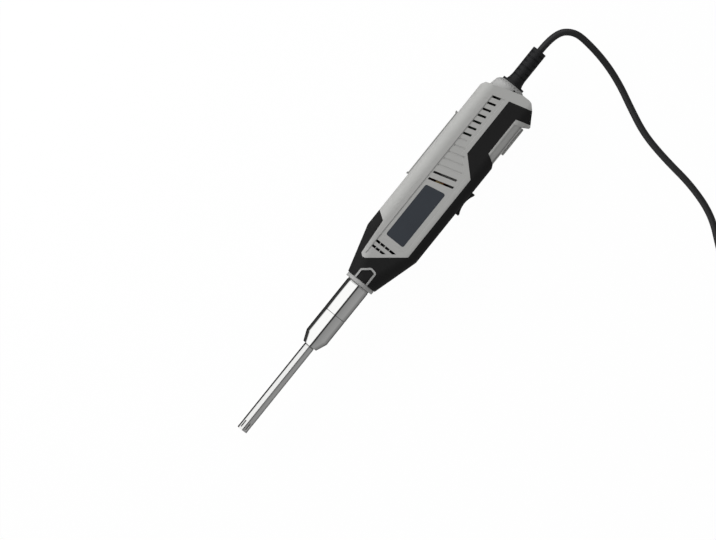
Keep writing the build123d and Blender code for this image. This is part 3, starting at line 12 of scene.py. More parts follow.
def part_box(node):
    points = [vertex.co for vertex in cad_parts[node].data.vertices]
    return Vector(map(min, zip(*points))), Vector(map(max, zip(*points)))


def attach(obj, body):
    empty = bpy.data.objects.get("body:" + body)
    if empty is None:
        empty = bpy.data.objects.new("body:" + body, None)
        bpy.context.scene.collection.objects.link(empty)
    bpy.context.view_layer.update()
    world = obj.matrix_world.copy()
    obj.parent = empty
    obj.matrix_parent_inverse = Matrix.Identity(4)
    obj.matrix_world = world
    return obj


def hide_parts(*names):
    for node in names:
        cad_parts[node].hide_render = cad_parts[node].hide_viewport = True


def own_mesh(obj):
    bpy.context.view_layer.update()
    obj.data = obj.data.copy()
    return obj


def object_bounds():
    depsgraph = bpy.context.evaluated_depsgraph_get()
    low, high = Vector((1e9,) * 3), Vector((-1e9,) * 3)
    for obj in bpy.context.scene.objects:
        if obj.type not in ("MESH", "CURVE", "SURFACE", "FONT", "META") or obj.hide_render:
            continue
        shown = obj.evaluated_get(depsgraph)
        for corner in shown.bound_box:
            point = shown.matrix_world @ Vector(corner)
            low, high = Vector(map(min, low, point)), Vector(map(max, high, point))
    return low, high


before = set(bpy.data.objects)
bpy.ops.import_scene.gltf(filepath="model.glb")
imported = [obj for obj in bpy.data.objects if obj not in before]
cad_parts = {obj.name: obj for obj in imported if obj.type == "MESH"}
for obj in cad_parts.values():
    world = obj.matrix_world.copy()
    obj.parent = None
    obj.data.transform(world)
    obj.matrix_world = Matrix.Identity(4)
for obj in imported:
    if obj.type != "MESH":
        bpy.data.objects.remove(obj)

log = logging.getLogger("homogenizer")

MM = 0.001
FULL_TURN = 360.0
MERGE_DISTANCE = 1e-4
CAD_BOX = [list(corner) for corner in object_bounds()]

# The screen's tone curve: its brightest tone, its straight part and its curved part.
FULL_TONE = 255
TONE_KNEE = 10
TONE_SLOPE = 12.92
TONE_LIFT = 0.055
TONE_POWER = 2.4

Point = tuple[float, float]
Place = tuple[float, float, float]
Tone = tuple[float, float, float]
Colour = tuple[float, float, float, float]


class Body(Enum):
    """The bodies that new pieces ride on."""

    ROOT = "root"
    LOCK = "lock_button"


class Grain(Enum):
    """The way a surface's fine texture runs."""

    SPARK = "even, all over"
    SPUN = "rings round the tool's axis"
    STACKED = "thin sheets across the tool's axis"
    WOUND = "wires side by side"


def span(node: str) -> tuple[Vector, Vector]:
    """Gives where a CAD node is.

    Args:
        node: Name of the node.

    Returns:
        Its lowest and highest corners in millimetres.
    """
    low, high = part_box(node)
    return Vector(low) / MM, Vector(high) / MM


def paint_tone(tone: Tone, shade: float = 1.0) -> Colour:
    """Turns a screen tone into a linear colour.

    Args:
        tone: Red, green and blue, 0 to 255.
        shade: Factor on the linear colour.

    Returns:
        Linear red, green, blue and alpha.
    """
    linear = [
        ((part / FULL_TONE + TONE_LIFT) / (1 + TONE_LIFT)) ** TONE_POWER
        if part > TONE_KNEE
        else part / FULL_TONE / TONE_SLOPE
        for part in tone
    ]
    return (*(part * shade for part in linear), 1.0)


def grey(level: float) -> Colour:
    """Gives an even linear grey."""
    return (level, level, level, 1.0)


# ------------------------------------------------------------------ shader maths


class Sock:
    """A shader socket that takes part in Python expressions."""

    def __init__(self, graph: "Graph", socket: Optional[bpy.types.NodeSocket]) -> None:
        """Wraps one output socket of a graph."""
        self.graph = graph
        self.socket = socket

    def _math(self, operation: str, other: "Value", swapped: bool = False) -> "Sock":
        """Adds a Math node.

        Args:
            operation: The Math node's operation.
            other: The other operand.
            swapped: Whether the other operand comes first.

        Returns:
            The node's output.
        """
        first, second = (other, self) if swapped else (self, other)
        return self.graph.node("ShaderNodeMath", {"operation": operation}, {0: first, 1: second})

    def __add__(self, other: "Value") -> "Sock":
        """self + other"""
        return self._math("ADD", other)

    def __radd__(self, other: "Value") -> "Sock":
        """other + self"""
        return self._math("ADD", other, True)

    def __sub__(self, other: "Value") -> "Sock":
        """self - other"""
        return self._math("SUBTRACT", other)

    def __rsub__(self, other: "Value") -> "Sock":
        """other - self"""
        return self._math("SUBTRACT", other, True)

    def __mul__(self, other: "Value") -> "Sock":
        """self * other"""
        return self._math("MULTIPLY", other)

    def __rmul__(self, other: "Value") -> "Sock":
        """other * self"""
        return self._math("MULTIPLY", other, True)

    def __truediv__(self, other: "Value") -> "Sock":
        """self / other"""
        return self._math("DIVIDE", other)

    def __rtruediv__(self, other: "Value") -> "Sock":
        """other / self"""
        return self._math("DIVIDE", other, True)

    def __mod__(self, other: "Value") -> "Sock":
        """self % other, never negative"""
        return self._math("FLOORED_MODULO", other)

    def __rmod__(self, other: "Value") -> "Sock":
        """other % self, never negative"""
        return self._math("FLOORED_MODULO", other, True)

    def __gt__(self, other: "Value") -> "Sock":
        """1 where self is over other, else 0"""
        return self._math("GREATER_THAN", other)

    def __lt__(self, other: "Value") -> "Sock":
        """1 where self is under other, else 0"""
        return self._math("LESS_THAN", other)

    def clamped(self) -> "Sock":
        """Limits the value to 0 to 1."""
        return self._math("MAXIMUM", 0.0)._math("MINIMUM", 1.0)


Value = Union[Sock, float, Sequence[float]]


class Graph:
    """The node tree of a material or of the world."""

    def __init__(self, tree: bpy.types.NodeTree) -> None:
        """Empties the tree and starts on it."""
        self.tree = tree
        self.tree.nodes.clear()

    def node(
        self,
        kind: str,
        settings: Optional[dict] = None,
        inputs: Optional[dict] = None,
        output: Union[int, str] = 0,
    ) -> Sock:
        """Adds a node.

        Args:
            kind: The node's type.
            settings: Its properties, and "stops" for a ramp's positions and colours.
            inputs: Values or links of its sockets, by name or number.
            output: Which output to give back.

        Returns:
            That output, or an empty socket where the node has none.
        """
        made = self.tree.nodes.new(kind)
        for key, value in (settings or {}).items():
            if key == "stops":
                ramp = made.color_ramp.elements
                while len(ramp) < len(value):
                    ramp.new(1.0)
                for stop, (position, colour) in zip(ramp, value):
                    stop.position = position
                    stop.color = colour
            else:
                setattr(made, key, value)
        for key, value in (inputs or {}).items():
            self.feed(made.inputs[key], value)
        outputs = made.outputs
        return Sock(self, outputs[output] if len(outputs) else None)

    def feed(self, socket: bpy.types.NodeSocket, value: Value) -> None:
        """Links a socket to an expression, or sets its value.

        Args:
            socket: The input socket.
            value: An expression, a number or a colour.
        """
        if isinstance(value, Sock):
            self.tree.links.new(value.socket, socket)
        else:
            socket.default_value = value

    def place(self) -> Sock:
        """Gives the point on the piece in millimetres."""
        coordinates = self.node("ShaderNodeTexCoord", output="Object")
        return self.scaled(coordinates, (1 / MM, 1 / MM, 1 / MM))

    def scaled(self, vector: Sock, factors: Place) -> Sock:
        """Multiplies a vector part by part."""
        settings = {"operation": "MULTIPLY"}
        return self.node("ShaderNodeVectorMath", settings, {0: vector, 1: factors})

    def along(self, vector: Sock, axis: str) -> Sock:
        """Gives a vector's part along X, Y or Z."""
        return self.node("ShaderNodeSeparateXYZ", {}, {0: vector}, axis)

    def noise(self, place: Sock, size: float, detail: float = 2.0) -> Sock:
        """Gives noise of a size in the vector's own units, 0 to 1."""
        inputs = {"Vector": place, "Scale": 1 / size, "Detail": detail}
        return self.node("ShaderNodeTexNoise", {}, inputs)

    def mix(self, factor: Value, low: Value, high: Value) -> Sock:
        """Mixes two colours."""
        inputs = {0: factor, 6: low, 7: high}
        return self.node("ShaderNodeMix", {"data_type": "RGBA"}, inputs, 2)

    def greys(self, value: Sock, stops: Sequence[Point]) -> Sock:
        """Turns a value from 0 to 1 into a grey, by stops of position and level."""
        colours = [(position, grey(level)) for position, level in stops]
        return self.node("ShaderNodeValToRGB", {"stops": colours}, {0: value})

    def ray(self, kind: str) -> Sock:
        """Gives 1 for Camera, Glossy or Transmission rays, else 0."""
        return self.node("ShaderNodeLightPath", output=f"Is {kind} Ray")


# ------------------------------------------------------------------ finishes

# Rings: factors on the place along and across the axis, so that noise runs round.
RING_SQUEEZE = (1.0, 0.03, 0.03)
# Sheets: share of each sheet that is the gap to the next.
SHEET_GAP = 0.3
# Wires: bands for each grain size, and how unevenly they lie.
WIRE_SCALE = 0.3
WIRE_DISTORTION = 1.5
# Broad drift: octaves of its noise.
CLOUD_DETAIL = 3.0
# Shares of the broad drift and of the fine texture in tone and in roughness.
CLOUD_TONE, GRAIN_TONE = 0.65, 0.35
CLOUD_ROUGHNESS, GRAIN_ROUGHNESS = 0.1, 0.16
# Edges: how fast their wear and painted highlight set in as they turn, how light they get, and how
# finely it is sampled.
EDGE_WEAR_AND_HIGHLIGHT = 6.0
EDGE_HIGHLIGHT_GAIN, EDGE_HIGHLIGHT_LIFT = 1.25, 10.0
EDGE_SAMPLES = 4
# How strongly the fine texture's height tells in the shading.
BUMP_STRENGTH = 0.6


@dataclass(frozen=True)
class Finish:
    """A surface finish.

    Attributes:
        name: Its name.
        colour: Its screen tone, 0 to 255.
        roughness: How matt it is.
        metallic: How metallic it is, 0 to 1.
        grain: Size of the fine texture in millimetres.
        depth: Height of the fine texture in millimetres.
        way: The way the fine texture runs.
        edge: How far edges are rounded in the shading, in millimetres.
        edge_light: How much lighter edges are, partly as wear and partly as a painted highlight.
        cloud: Size of the broad drift of tone in millimetres.
        drift: How far the tone drifts either way.
        coat: Weight of a clear coat.
        sheen: Weight of a soft fuzz.
        gloss: Strength of a non-metal's mirror light.
        rim: How bright a metal stays where it turns away.
    """

    name: str
    colour: Tone
    roughness: float = 0.5
    metallic: float = 0.0
    grain: float = 0.4
    depth: float = 0.02
    way: Grain = Grain.SPARK
    edge: float = 0.3
    edge_light: float = 0.25
    cloud: float = 25.0
    drift: float = 0.06
    coat: float = 0.0
    sheen: float = 0.0
    gloss: float = 0.5
    rim: float = 1.0

    def relief(self, graph: Graph, place: Sock) -> Sock:
        """Gives the height of the fine texture.

        Args:
            graph: The material's graph.
            place: The point in millimetres.

        Returns:
            A height, 0 to 1.
        """
        if self.way is Grain.SPUN:
            return graph.noise(graph.scaled(place, RING_SQUEEZE), self.grain)
        if self.way is Grain.STACKED:
            return graph.along(place, "X") % self.grain > self.grain * SHEET_GAP
        if self.way is Grain.WOUND:
            settings = {"bands_direction": "X", "wave_profile": "SIN"}
            inputs = {
                "Vector": place,
                "Scale": WIRE_SCALE / self.grain,
                "Distortion": WIRE_DISTORTION,
                "Detail": 1.0,
            }
            return graph.node("ShaderNodeTexWave", settings, inputs, "Fac")
        return graph.noise(place, self.grain)

    def material(self) -> bpy.types.Material:
        """Makes the material, or gives the one made before.

        Returns:
            The material.
        """
        if self.name in bpy.data.materials:
            return bpy.data.materials[self.name]
        made = bpy.data.materials.new(self.name)
        made.use_nodes = True
        graph = Graph(made.node_tree)
        place = graph.place()
        relief = self.relief(graph, place)
        cloud = graph.noise(place, self.cloud, CLOUD_DETAIL)
        inputs = {"Radius": self.edge * MM}
        rounded = graph.node("ShaderNodeBevel", {"samples": EDGE_SAMPLES}, inputs)
        flat = graph.node("ShaderNodeNewGeometry", output="Normal")
        inputs = {0: rounded, 1: flat}
        facing = graph.node("ShaderNodeVectorMath", {"operation": "DOT_PRODUCT"}, inputs, 1)
        # Edges are painted lighter: partly wear, partly a painted highlight where rounded edges
        # catch light.
        wear_and_edge_highlight = ((1 - facing) * EDGE_WEAR_AND_HIGHLIGHT * self.edge_light).clamped()
        tone = (cloud * CLOUD_TONE + relief * GRAIN_TONE).clamped()
        dark = paint_tone(self.colour, 1 - self.drift)
        pale = paint_tone(self.colour, 1 + self.drift)
        lit = tuple(min(FULL_TONE, part * EDGE_HIGHLIGHT_GAIN + EDGE_HIGHLIGHT_LIFT) for part in self.colour)
        rough = (relief - 0.5) * GRAIN_ROUGHNESS
        cloudy = (cloud - 0.5) * CLOUD_ROUGHNESS
        inputs = {
            "Height": relief,
            "Distance": self.depth * MM,
            "Strength": BUMP_STRENGTH,
            "Normal": rounded,
        }
        normal = graph.node("ShaderNodeBump", {}, inputs)
        inputs = {
            "Base Color": graph.mix(wear_and_edge_highlight, graph.mix(tone, dark, pale), paint_tone(lit)),
            "Roughness": (self.roughness + rough + cloudy).clamped(),
            "Metallic": self.metallic,
            "Coat Weight": self.coat,
            "Specular IOR Level": self.gloss,
            "Specular Tint": grey(self.rim),
            "Sheen Weight": self.sheen,
            "Normal": normal,
        }
        surface = graph.node("ShaderNodeBsdfPrincipled", {}, inputs)
        graph.node("ShaderNodeOutputMaterial", {}, {"Surface": surface})
        return made


GREY_PLASTIC = Finish("shell_plastic", (168, 168, 166), 0.5, grain=0.35, depth=0.015)
PALE_PLASTIC = Finish("pale_plastic", (160, 160, 159), 0.45, grain=0.35, depth=0.004)
COLLAR_PLASTIC = Finish(
    "collar_plastic", (166, 166, 165), 0.5, grain=0.35, depth=0.004, edge_light=0.0
)
PLATE_PLASTIC = Finish("plate_plastic", (142, 142, 140), 0.5, grain=0.35, depth=0.015)
SOFT_RUBBER = Finish(
    "soft_rubber", (26, 26, 26), 0.65, grain=0.3, depth=0.03, edge_light=0.3, gloss=0.14
)
SEAL_RUBBER = Finish("seal_rubber", (24, 24, 24), 0.55)
BLACK_PLASTIC = Finish("moulded_black", (22, 22, 23), 0.42, grain=0.35, depth=0.012, gloss=0.2)
BOOT_RUBBER = Finish(
    "boot_rubber", (28, 28, 29), 0.5, grain=2.2, depth=0.12, drift=0.35, gloss=0.16
)
LABEL_PLASTIC = Finish("bare_inlay", (52, 56, 62), 0.3, grain=0.2, depth=0.004, gloss=0.2)
CORD_JACKET = Finish(
    "cord_jacket", (34, 34, 35), 0.45, grain=0.6, depth=0.02, edge_light=0.0, gloss=0.25
)
TIE_STRAP = Finish("tie_strap", (32, 32, 34), 0.8, grain=0.5, depth=0.15, sheen=0.3)
GROUND_STEEL = Finish(
    "ground_steel", (206, 206, 205), 0.16, 1.0, 0.12, 0.003, Grain.SPUN, drift=0.05, rim=0.1
)
BRIGHT_STEEL = Finish(
    "bright_steel", (216, 216, 215), 0.08, 1.0, 0.1, 0.0015, Grain.SPUN, drift=0.04, rim=0.1
)
SHAFT_STEEL = Finish("shaft_steel", (190, 190, 192), 0.25, 1.0, 0.2, 0.004, Grain.SPUN)
SPRING_STEEL = Finish("spring_wire", (170, 170, 172), 0.3, 1.0, 0.3, 0.004, edge_light=0.0)
SCREW_STEEL = Finish("blackened_screw", (70, 70, 72), 0.35, 1.0, 0.3, 0.006)
NICKEL = Finish("nickel", (214, 210, 200), 0.16, 1.0, 0.3, 0.002)
MILLED_ALUMINIUM = Finish("milled_aluminium", (205, 206, 208), 0.32, 1.0, 0.25, 0.006, Grain.SPUN)
BUSH_POLYMER = Finish("bush_polymer", (238, 238, 232), 0.4, grain=0.5, depth=0.006)
LAMINATIONS = Finish("laminations", (120, 121, 124), 0.4, 1.0, 0.5, 0.05, Grain.STACKED)
WOUND_COPPER = Finish("wound_copper", (176, 98, 56), 0.35, 0.9, 0.6, 0.2, Grain.WOUND, coat=0.5)
BARE_COPPER = Finish("bare_copper", (196, 120, 78), 0.25, 1.0, 0.2, 0.004, Grain.SPUN)
PRESSED_BRASS = Finish("pressed_brass", (112, 100, 68), 0.4, 1.0, 0.4, 0.006)
BALL_CAGE = Finish("ball_cage", (190, 174, 130), 0.2, 1.0, 0.3, 0.003)
CARBON = Finish("pressed_carbon", (38, 38, 40), 0.6, 0.2, 0.25, 0.02)
BOARD_MASK = Finish("board_mask", (28, 92, 52), 0.35, grain=1.2, depth=0.02, drift=0.2, coat=0.3)
CAPACITOR_CASE = Finish("capacitor_case", (214, 178, 70), 0.35, grain=0.5, depth=0.01)

CARRIED_NODES = {
    GREY_PLASTIC: ("left_housing", "right_housing", "speed_dial"),
    SOFT_RUBBER: ("left_grip", "right_grip", "lock_button"),
    LABEL_PLASTIC: ("left_label_plate", "right_label_plate"),
    PALE_PLASTIC: ("lock_bezel",),
    COLLAR_PLASTIC: ("tail_collar",),
    PLATE_PLASTIC: ("top_plate",),
    BOOT_RUBBER: ("cord_boot",),
    SEAL_RUBBER: ("shaft_seal",),
    CORD_JACKET: ("inner_lead",),
    BLACK_PLASTIC: (
        "motor_coupling",
        "fan",
        "fan_baffle",
        "switch_link",
        "switch_body",
        "slide_button",
        "cord_clamp",
    ),
    BUSH_POLYMER: ("shaft_bushes",),
    GROUND_STEEL: ("rotor_knife",),
    SHAFT_STEEL: (
        "drive_shaft",
        "spindle",
        "motor_shaft",
        "front_bearing_outer_ring",
        "front_bearing_inner_ring",
        "rear_bearing_outer_ring",
        "rear_bearing_inner_ring",
    ),
    BALL_CAGE: ("front_bearing_ball_cage", "rear_bearing_ball_cage"),
    MILLED_ALUMINIUM: ("shaft_coupling", "dial_shaft", "potentiometer"),
    LAMINATIONS: ("field_core", "armature_core"),
    WOUND_COPPER: ("field_coils", "armature_winding"),
    BARE_COPPER: ("commutator",),
    PRESSED_BRASS: ("brush_holders",),
    CARBON: ("carbon_brushes",),
    BOARD_MASK: ("speed_board",),
    CAPACITOR_CASE: ("suppression_capacitor",),
    SCREW_STEEL: ("clamp_screws", "housing_screws"),
}


# ------------------------------------------------------------------ shapes


class Shape:
    """A mesh being shaped in millimetres, in the tool's own frame."""

    def __init__(self) -> None:
        """Starts with nothing."""
        self.mesh = bmesh.new()

    @classmethod
    def lathe(cls, profile: Sequence[Point], steps: int = 96) -> "Shape":
        """Spins a closed profile round the tool's axis.

        Args:
            profile: Points of X and radius, in order.
            steps: Faces round the piece.

        Returns:
            The turned shape.
        """
        shape = cls()
        rim = shape.loop([(x, radius, 0.0) for x, radius in profile])
        bmesh.ops.spin(
            shape.mesh,
            geom=shape.mesh.verts[:] + rim,
            cent=(0, 0, 0),
            axis=(1, 0, 0),
            angle=2 * pi,
            steps=steps,
            use_merge=True,
        )
        bmesh.ops.remove_doubles(shape.mesh, verts=shape.mesh.verts, dist=MERGE_DISTANCE)
        return shape.outward()

    def loop(self, places: Sequence[Place]) -> list[bmesh.types.BMEdge]:
        """Adds a closed loop of edges through some places."""
        corners = [self.mesh.verts.new(place) for place in places]
        return [self.mesh.edges.new(pair) for pair in zip(corners, corners[1:] + corners[:1])]

    def closed(self) -> "Shape":
        """Closes the open ends and turns the faces outwards.

        Returns:
            The same shape.
        """
        border = [edge for edge in self.mesh.edges if edge.is_boundary]
        bmesh.ops.holes_fill(self.mesh, edges=border)
        return self.outward()

    def outward(self) -> "Shape":
        """Turns all faces outwards."""
        bmesh.ops.recalc_face_normals(self.mesh, faces=self.mesh.faces)
        return self

    def soften(self, width: float, segments: int = 2, angle: float = 35.0) -> "Shape":
        """Rounds the hard edges.

        Args:
            width: How wide the rounding is.
            segments: Faces across it.
            angle: Edges that turn more than this many degrees are hard.

        Returns:
            The same shape.
        """
        hard = [edge for edge in self.mesh.edges if edge.calc_face_angle(0.0) > radians(angle)]
        bmesh.ops.bevel(
            self.mesh,
            geom=hard,
            offset=width,
            offset_type="OFFSET",
            segments=segments,
            profile=0.5,
            affect="EDGES",
            clamp_overlap=True,
            material=-1,
        )
        return self

    def join(self, other: "Shape") -> "Shape":
        """Takes over another shape's mesh.

        Args:
            other: The shape to take, which is used up.

        Returns:
            This shape, with both meshes.
        """
        spare = bpy.data.meshes.new("spare")
        other.mesh.to_mesh(spare)
        self.mesh.from_mesh(spare)
        bpy.data.meshes.remove(spare)
        other.mesh.free()
        return self

    def copy(self) -> "Shape":
        """Copies the shape.

        Returns:
            A shape of its own with the same mesh.
        """
        twin = Shape()
        twin.mesh.free()
        twin.mesh = self.mesh.copy()
        return twin

    def placed(self, matrix: Matrix) -> "Shape":
        """Moves or turns the whole shape."""
        bmesh.ops.transform(self.mesh, matrix=matrix, verts=self.mesh.verts)
        return self

    def finished(self, name: str) -> bpy.types.Mesh:
        """Ends the shaping.

        Args:
            name: Name for the mesh.

        Returns:
            The mesh in metres.
        """
        bmesh.ops.scale(self.mesh, vec=(MM, MM, MM), verts=self.mesh.verts)
        data = bpy.data.meshes.new(name)
        self.mesh.to_mesh(data)
        self.mesh.free()
        return data

    def piece(
        self, name: str, finish: Finish, body: Body, node: str, smooth: float = 32.0
    ) -> bpy.types.Object:
        """Makes the shape an object that stands for a CAD node.

        Args:
            name: The object's name.
            finish: Its finish.
            body: The body it rides on.
            node: The CAD node it replaces.
            smooth: Edges that turn less than this many degrees are shaded smooth.

        Returns:
            The object.
        """
        data = self.finished(name)
        data.shade_smooth()
        data.set_sharp_from_angle(angle=radians(smooth))
        return adopt(bpy.data.objects.new(name, data), finish, body, node)


def adopt(made: bpy.types.Object, finish: Finish, body: Body, *nodes: str) -> bpy.types.Object:
    """Puts a finished object on its body.

    Args:
        made: The object.
        finish: Its finish.
        body: The body it rides on.
        nodes: The CAD nodes it replaces, which are hidden.

    Returns:
        The object.
    """
    made.data.materials.append(finish.material())
    bpy.context.scene.collection.objects.link(made)
    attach(made, body.value)
    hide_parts(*nodes)
    log.info("%s stands for %s", made.name, ", ".join(nodes))
    return made


def round_bar(
    name: str, places: Sequence[Place], thickness: float, roundness: int, fineness: int
) -> bpy.types.Curve:
    """Makes a round bar along a smooth open curve.

    Args:
        name: Name for the curve.
        places: Its control points.
        thickness: Thickness of the bar, in the same units.
        roundness: Extra faces on each quarter round it.
        fineness: Faces along it from one point to the next.

    Returns:
        The curve's data.
    """
    data = bpy.data.curves.new(name, "CURVE")
    data.dimensions = "3D"
    data.bevel_depth = thickness / 2
    data.bevel_resolution = roundness
    data.resolution_u = fineness
    data.use_fill_caps = True
    spline = data.splines.new("NURBS")
    spline.points.add(len(places) - 1)
    for knot, place in zip(spline.points, places):
        knot.co = (*place, 1.0)
    spline.order_u = 3
    spline.use_endpoint_u = True
    return data


def rounded_outline(
    half_width: float, half_height: float, corner: float, count: int, start: float = 0.0
) -> list[Point]:
    """Gives points round an upright rectangle with round corners.

    Args:
        half_width: Half its width.
        half_height: Half its height.
        corner: Radius of its corners.
        count: Number of points.
        start: Where the first point is, in steps from one point to the next.

    Returns:
        The points, across and up from the middle.
    """
    outline = []
    for step in range(count):
        angle = 2 * pi * (step + start) / count
        side = Vector((cos(angle), sin(angle)))
        across = (half_width - corner) * (1 if side.x > 0 else -1) + corner * side.x
        up = (half_height - corner) * (1 if side.y > 0 else -1) + corner * side.y
        outline.append((across, up))
    return outline


# ------------------------------------------------------------------ studio


@dataclass(frozen=True)
class Lamp:
    """A soft lamp.

    Attributes:
        name: Its name.
        place: Where it hangs, in metres.
        size: Its width and height in metres.
        power: Its power in watts.
    """

    name: str
    place: Place
    size: Point
    power: float

    def hang(self, aim: Point) -> None:
        """Hangs the lamp so that it faces a point of the floor and mirrors don't show it.

        Args:
            aim: The point it faces, X and Y.
        """
        data = bpy.data.lights.new(self.name, "AREA")
        data.shape = "RECTANGLE"
        data.size, data.size_y = self.size
        data.energy = self.power
        lamp = bpy.data.objects.new(self.name, data)
        lamp.visible_glossy = False
        lamp.location = self.place
        facing = Vector((*aim, 0.0)) - Vector(self.place)
        lamp.rotation_euler = facing.to_track_quat("-Z", "Y").to_euler()
        bpy.context.scene.collection.objects.link(lamp)


@dataclass
class Studio:
    """The camera, the floor and the lights.

    Lengths are in metres, but those of the floor's glow are in millimetres.

    Attributes:
        view_width: Width of the view at the tool's axis.
        distance: Height of the camera.
        sensor: Width of its sensor in millimetres.
        aim: The point of the floor that it looks at.
        turn_sine: Sine of the camera's turn about Z.
        floor_size: Side of the floor.
        floor_level: Grey of the floor where light falls on it.
        lamps: The lamps.
        room_light: Even light from all round.
        sweep_glow: Share of the floor that is its own white where it is seen directly.
        body_middle: Middle of the painted shadow under the tool's body.
        body_reach: One over the painted shadow's half length and half width, and 0 for its height.
        body_level: Grey of the painted shadow.
        mirrored_shade_span: Width of floor that the stops of mirrored_shade_stops cover.
        mirrored_shade_stops: The floor as mirrors see it across the tool, with painted shade
            beside the tool, by stops of position and level.
        walls: The room as mirrors see it across the tool, by stops of position and level.
    """

    view_width: float = 0.637
    distance: float = 4.0
    sensor: float = 36.0
    aim: Point = (0.1755, 0.0087)
    turn_sine: float = -0.779
    floor_size: float = 8.0
    floor_level: float = 0.9
    lamps: tuple[Lamp, ...] = (
        Lamp("key", (0.24, 0.95, 0.55), (1.0, 0.5), 10.0),
        Lamp("fill", (0.2, -0.9, 0.9), (0.8, 0.8), 1.8),
    )
    room_light: float = 0.4
    sweep_glow: float = 0.98
    body_middle: Place = (285.0, 0.0, -24.0)
    body_reach: Place = (1 / 100, 1 / 24, 0.0)
    body_level: float = 0.02
    mirrored_shade_span: float = 1000.0
    mirrored_shade_stops: tuple[Point, ...] = ((0.0, 0.4), (0.495, 0.3), (0.5, 0.05), (0.7, 0.05), (0.75, 1.0))
    walls: tuple[Point, ...] = ((0.0, 0.42), (0.34, 0.34), (0.41, 0.03), (0.49, 0.03), (0.53, 1.4))

    def build(self) -> None:
        """Makes the whole studio."""
        self.make_camera()
        self.make_floor()
        self.make_world()
        for lamp in self.lamps:
            lamp.hang(self.aim)
        bpy.context.scene.view_settings.view_transform = "Standard"
        log.info("the studio stands")

    def make_camera(self) -> None:
        """Looks straight down on the tool."""
        data = bpy.data.cameras.new("camera")
        data.sensor_width = self.sensor
        data.lens = self.sensor * self.distance / self.view_width
        camera = bpy.data.objects.new("camera", data)
        camera.location = (*self.aim, self.distance)
        camera.rotation_euler = (0, 0, asin(self.turn_sine))
        bpy.context.scene.collection.objects.link(camera)
        bpy.context.scene.camera = camera

    def sweep_colour(self, graph: Graph) -> Sock:
        """Gives the sweep's white, with a painted shadow under the body and painted shade beside
        the tool that only mirrors see.

        Args:
            graph: The floor's graph.

        Returns:
            The colour of its glow.
        """
        place = graph.place()
        inputs = {0: place, 1: self.body_middle}
        inwards = graph.node("ShaderNodeVectorMath", {"operation": "SUBTRACT"}, inputs)
        inputs = {0: graph.scaled(inwards, self.body_reach)}
        away = graph.node("ShaderNodeVectorMath", {"operation": "LENGTH"}, inputs, "Value")
        # Painted shadow: the floor's glow turns dark in an oval under the body, so the vents show
        # shade.
        floor_with_painted_shadow = graph.mix(away > 1, grey(self.body_level), grey(1.0))
        # Painted shade that only mirrors see: the floor beside the tool turns dark and grey for
        # glossy rays.
        mirrored_painted_shade = graph.greys(graph.along(place, "Y") / self.mirrored_shade_span + 0.5, self.mirrored_shade_stops)
        return graph.mix(graph.ray("Glossy"), floor_with_painted_shadow, mirrored_painted_shade)

    def make_floor(self) -> None:
        """Lays a pale floor that keeps shadows and looks white."""
        shape = Shape()
        reach = self.floor_size / MM / 2
        bmesh.ops.create_grid(shape.mesh, x_segments=2, y_segments=2, size=reach)
        shape.placed(Matrix.Translation((0, 0, CAD_BOX[0][2] / MM)))
        floor = bpy.data.objects.new("floor", shape.finished("floor"))
        made = bpy.data.materials.new("white_sweep")
        made.use_nodes = True
        graph = Graph(made.node_tree)
        seen = (graph.ray("Camera") + graph.ray("Glossy") + graph.ray("Transmission")).clamped()
        matt = graph.node("ShaderNodeBsdfDiffuse", {}, {"Color": grey(self.floor_level)})
        inputs = {"Color": self.sweep_colour(graph), "Strength": 1.0}
        glow = graph.node("ShaderNodeEmission", {}, inputs)
        inputs = {0: seen * self.sweep_glow, 1: matt, 2: glow}
        surface = graph.node("ShaderNodeMixShader", {}, inputs)
        graph.node("ShaderNodeOutputMaterial", {}, {"Surface": surface})
        floor.data.materials.append(made)
        bpy.context.scene.collection.objects.link(floor)

    def make_world(self) -> None:
        """Makes an even room, white where the camera sees it."""
        world = bpy.data.worlds.new("room")
        bpy.context.scene.world = world
        world.use_nodes = True
        graph = Graph(world.node_tree)
        direction = graph.node("ShaderNodeTexCoord", output="Generated")
        walls = graph.greys(graph.along(direction, "Y") * 0.5 + 0.5, self.walls)
        room = graph.mix(graph.ray("Glossy"), grey(self.room_light), walls)
        inputs = {"Color": graph.mix(graph.ray("Camera"), room, grey(1.0)), "Strength": 1.0}
        background = graph.node("ShaderNodeBackground", {}, inputs)
        graph.node("ShaderNodeOutputWorld", {}, {"Surface": background})


# ------------------------------------------------------------------ lead


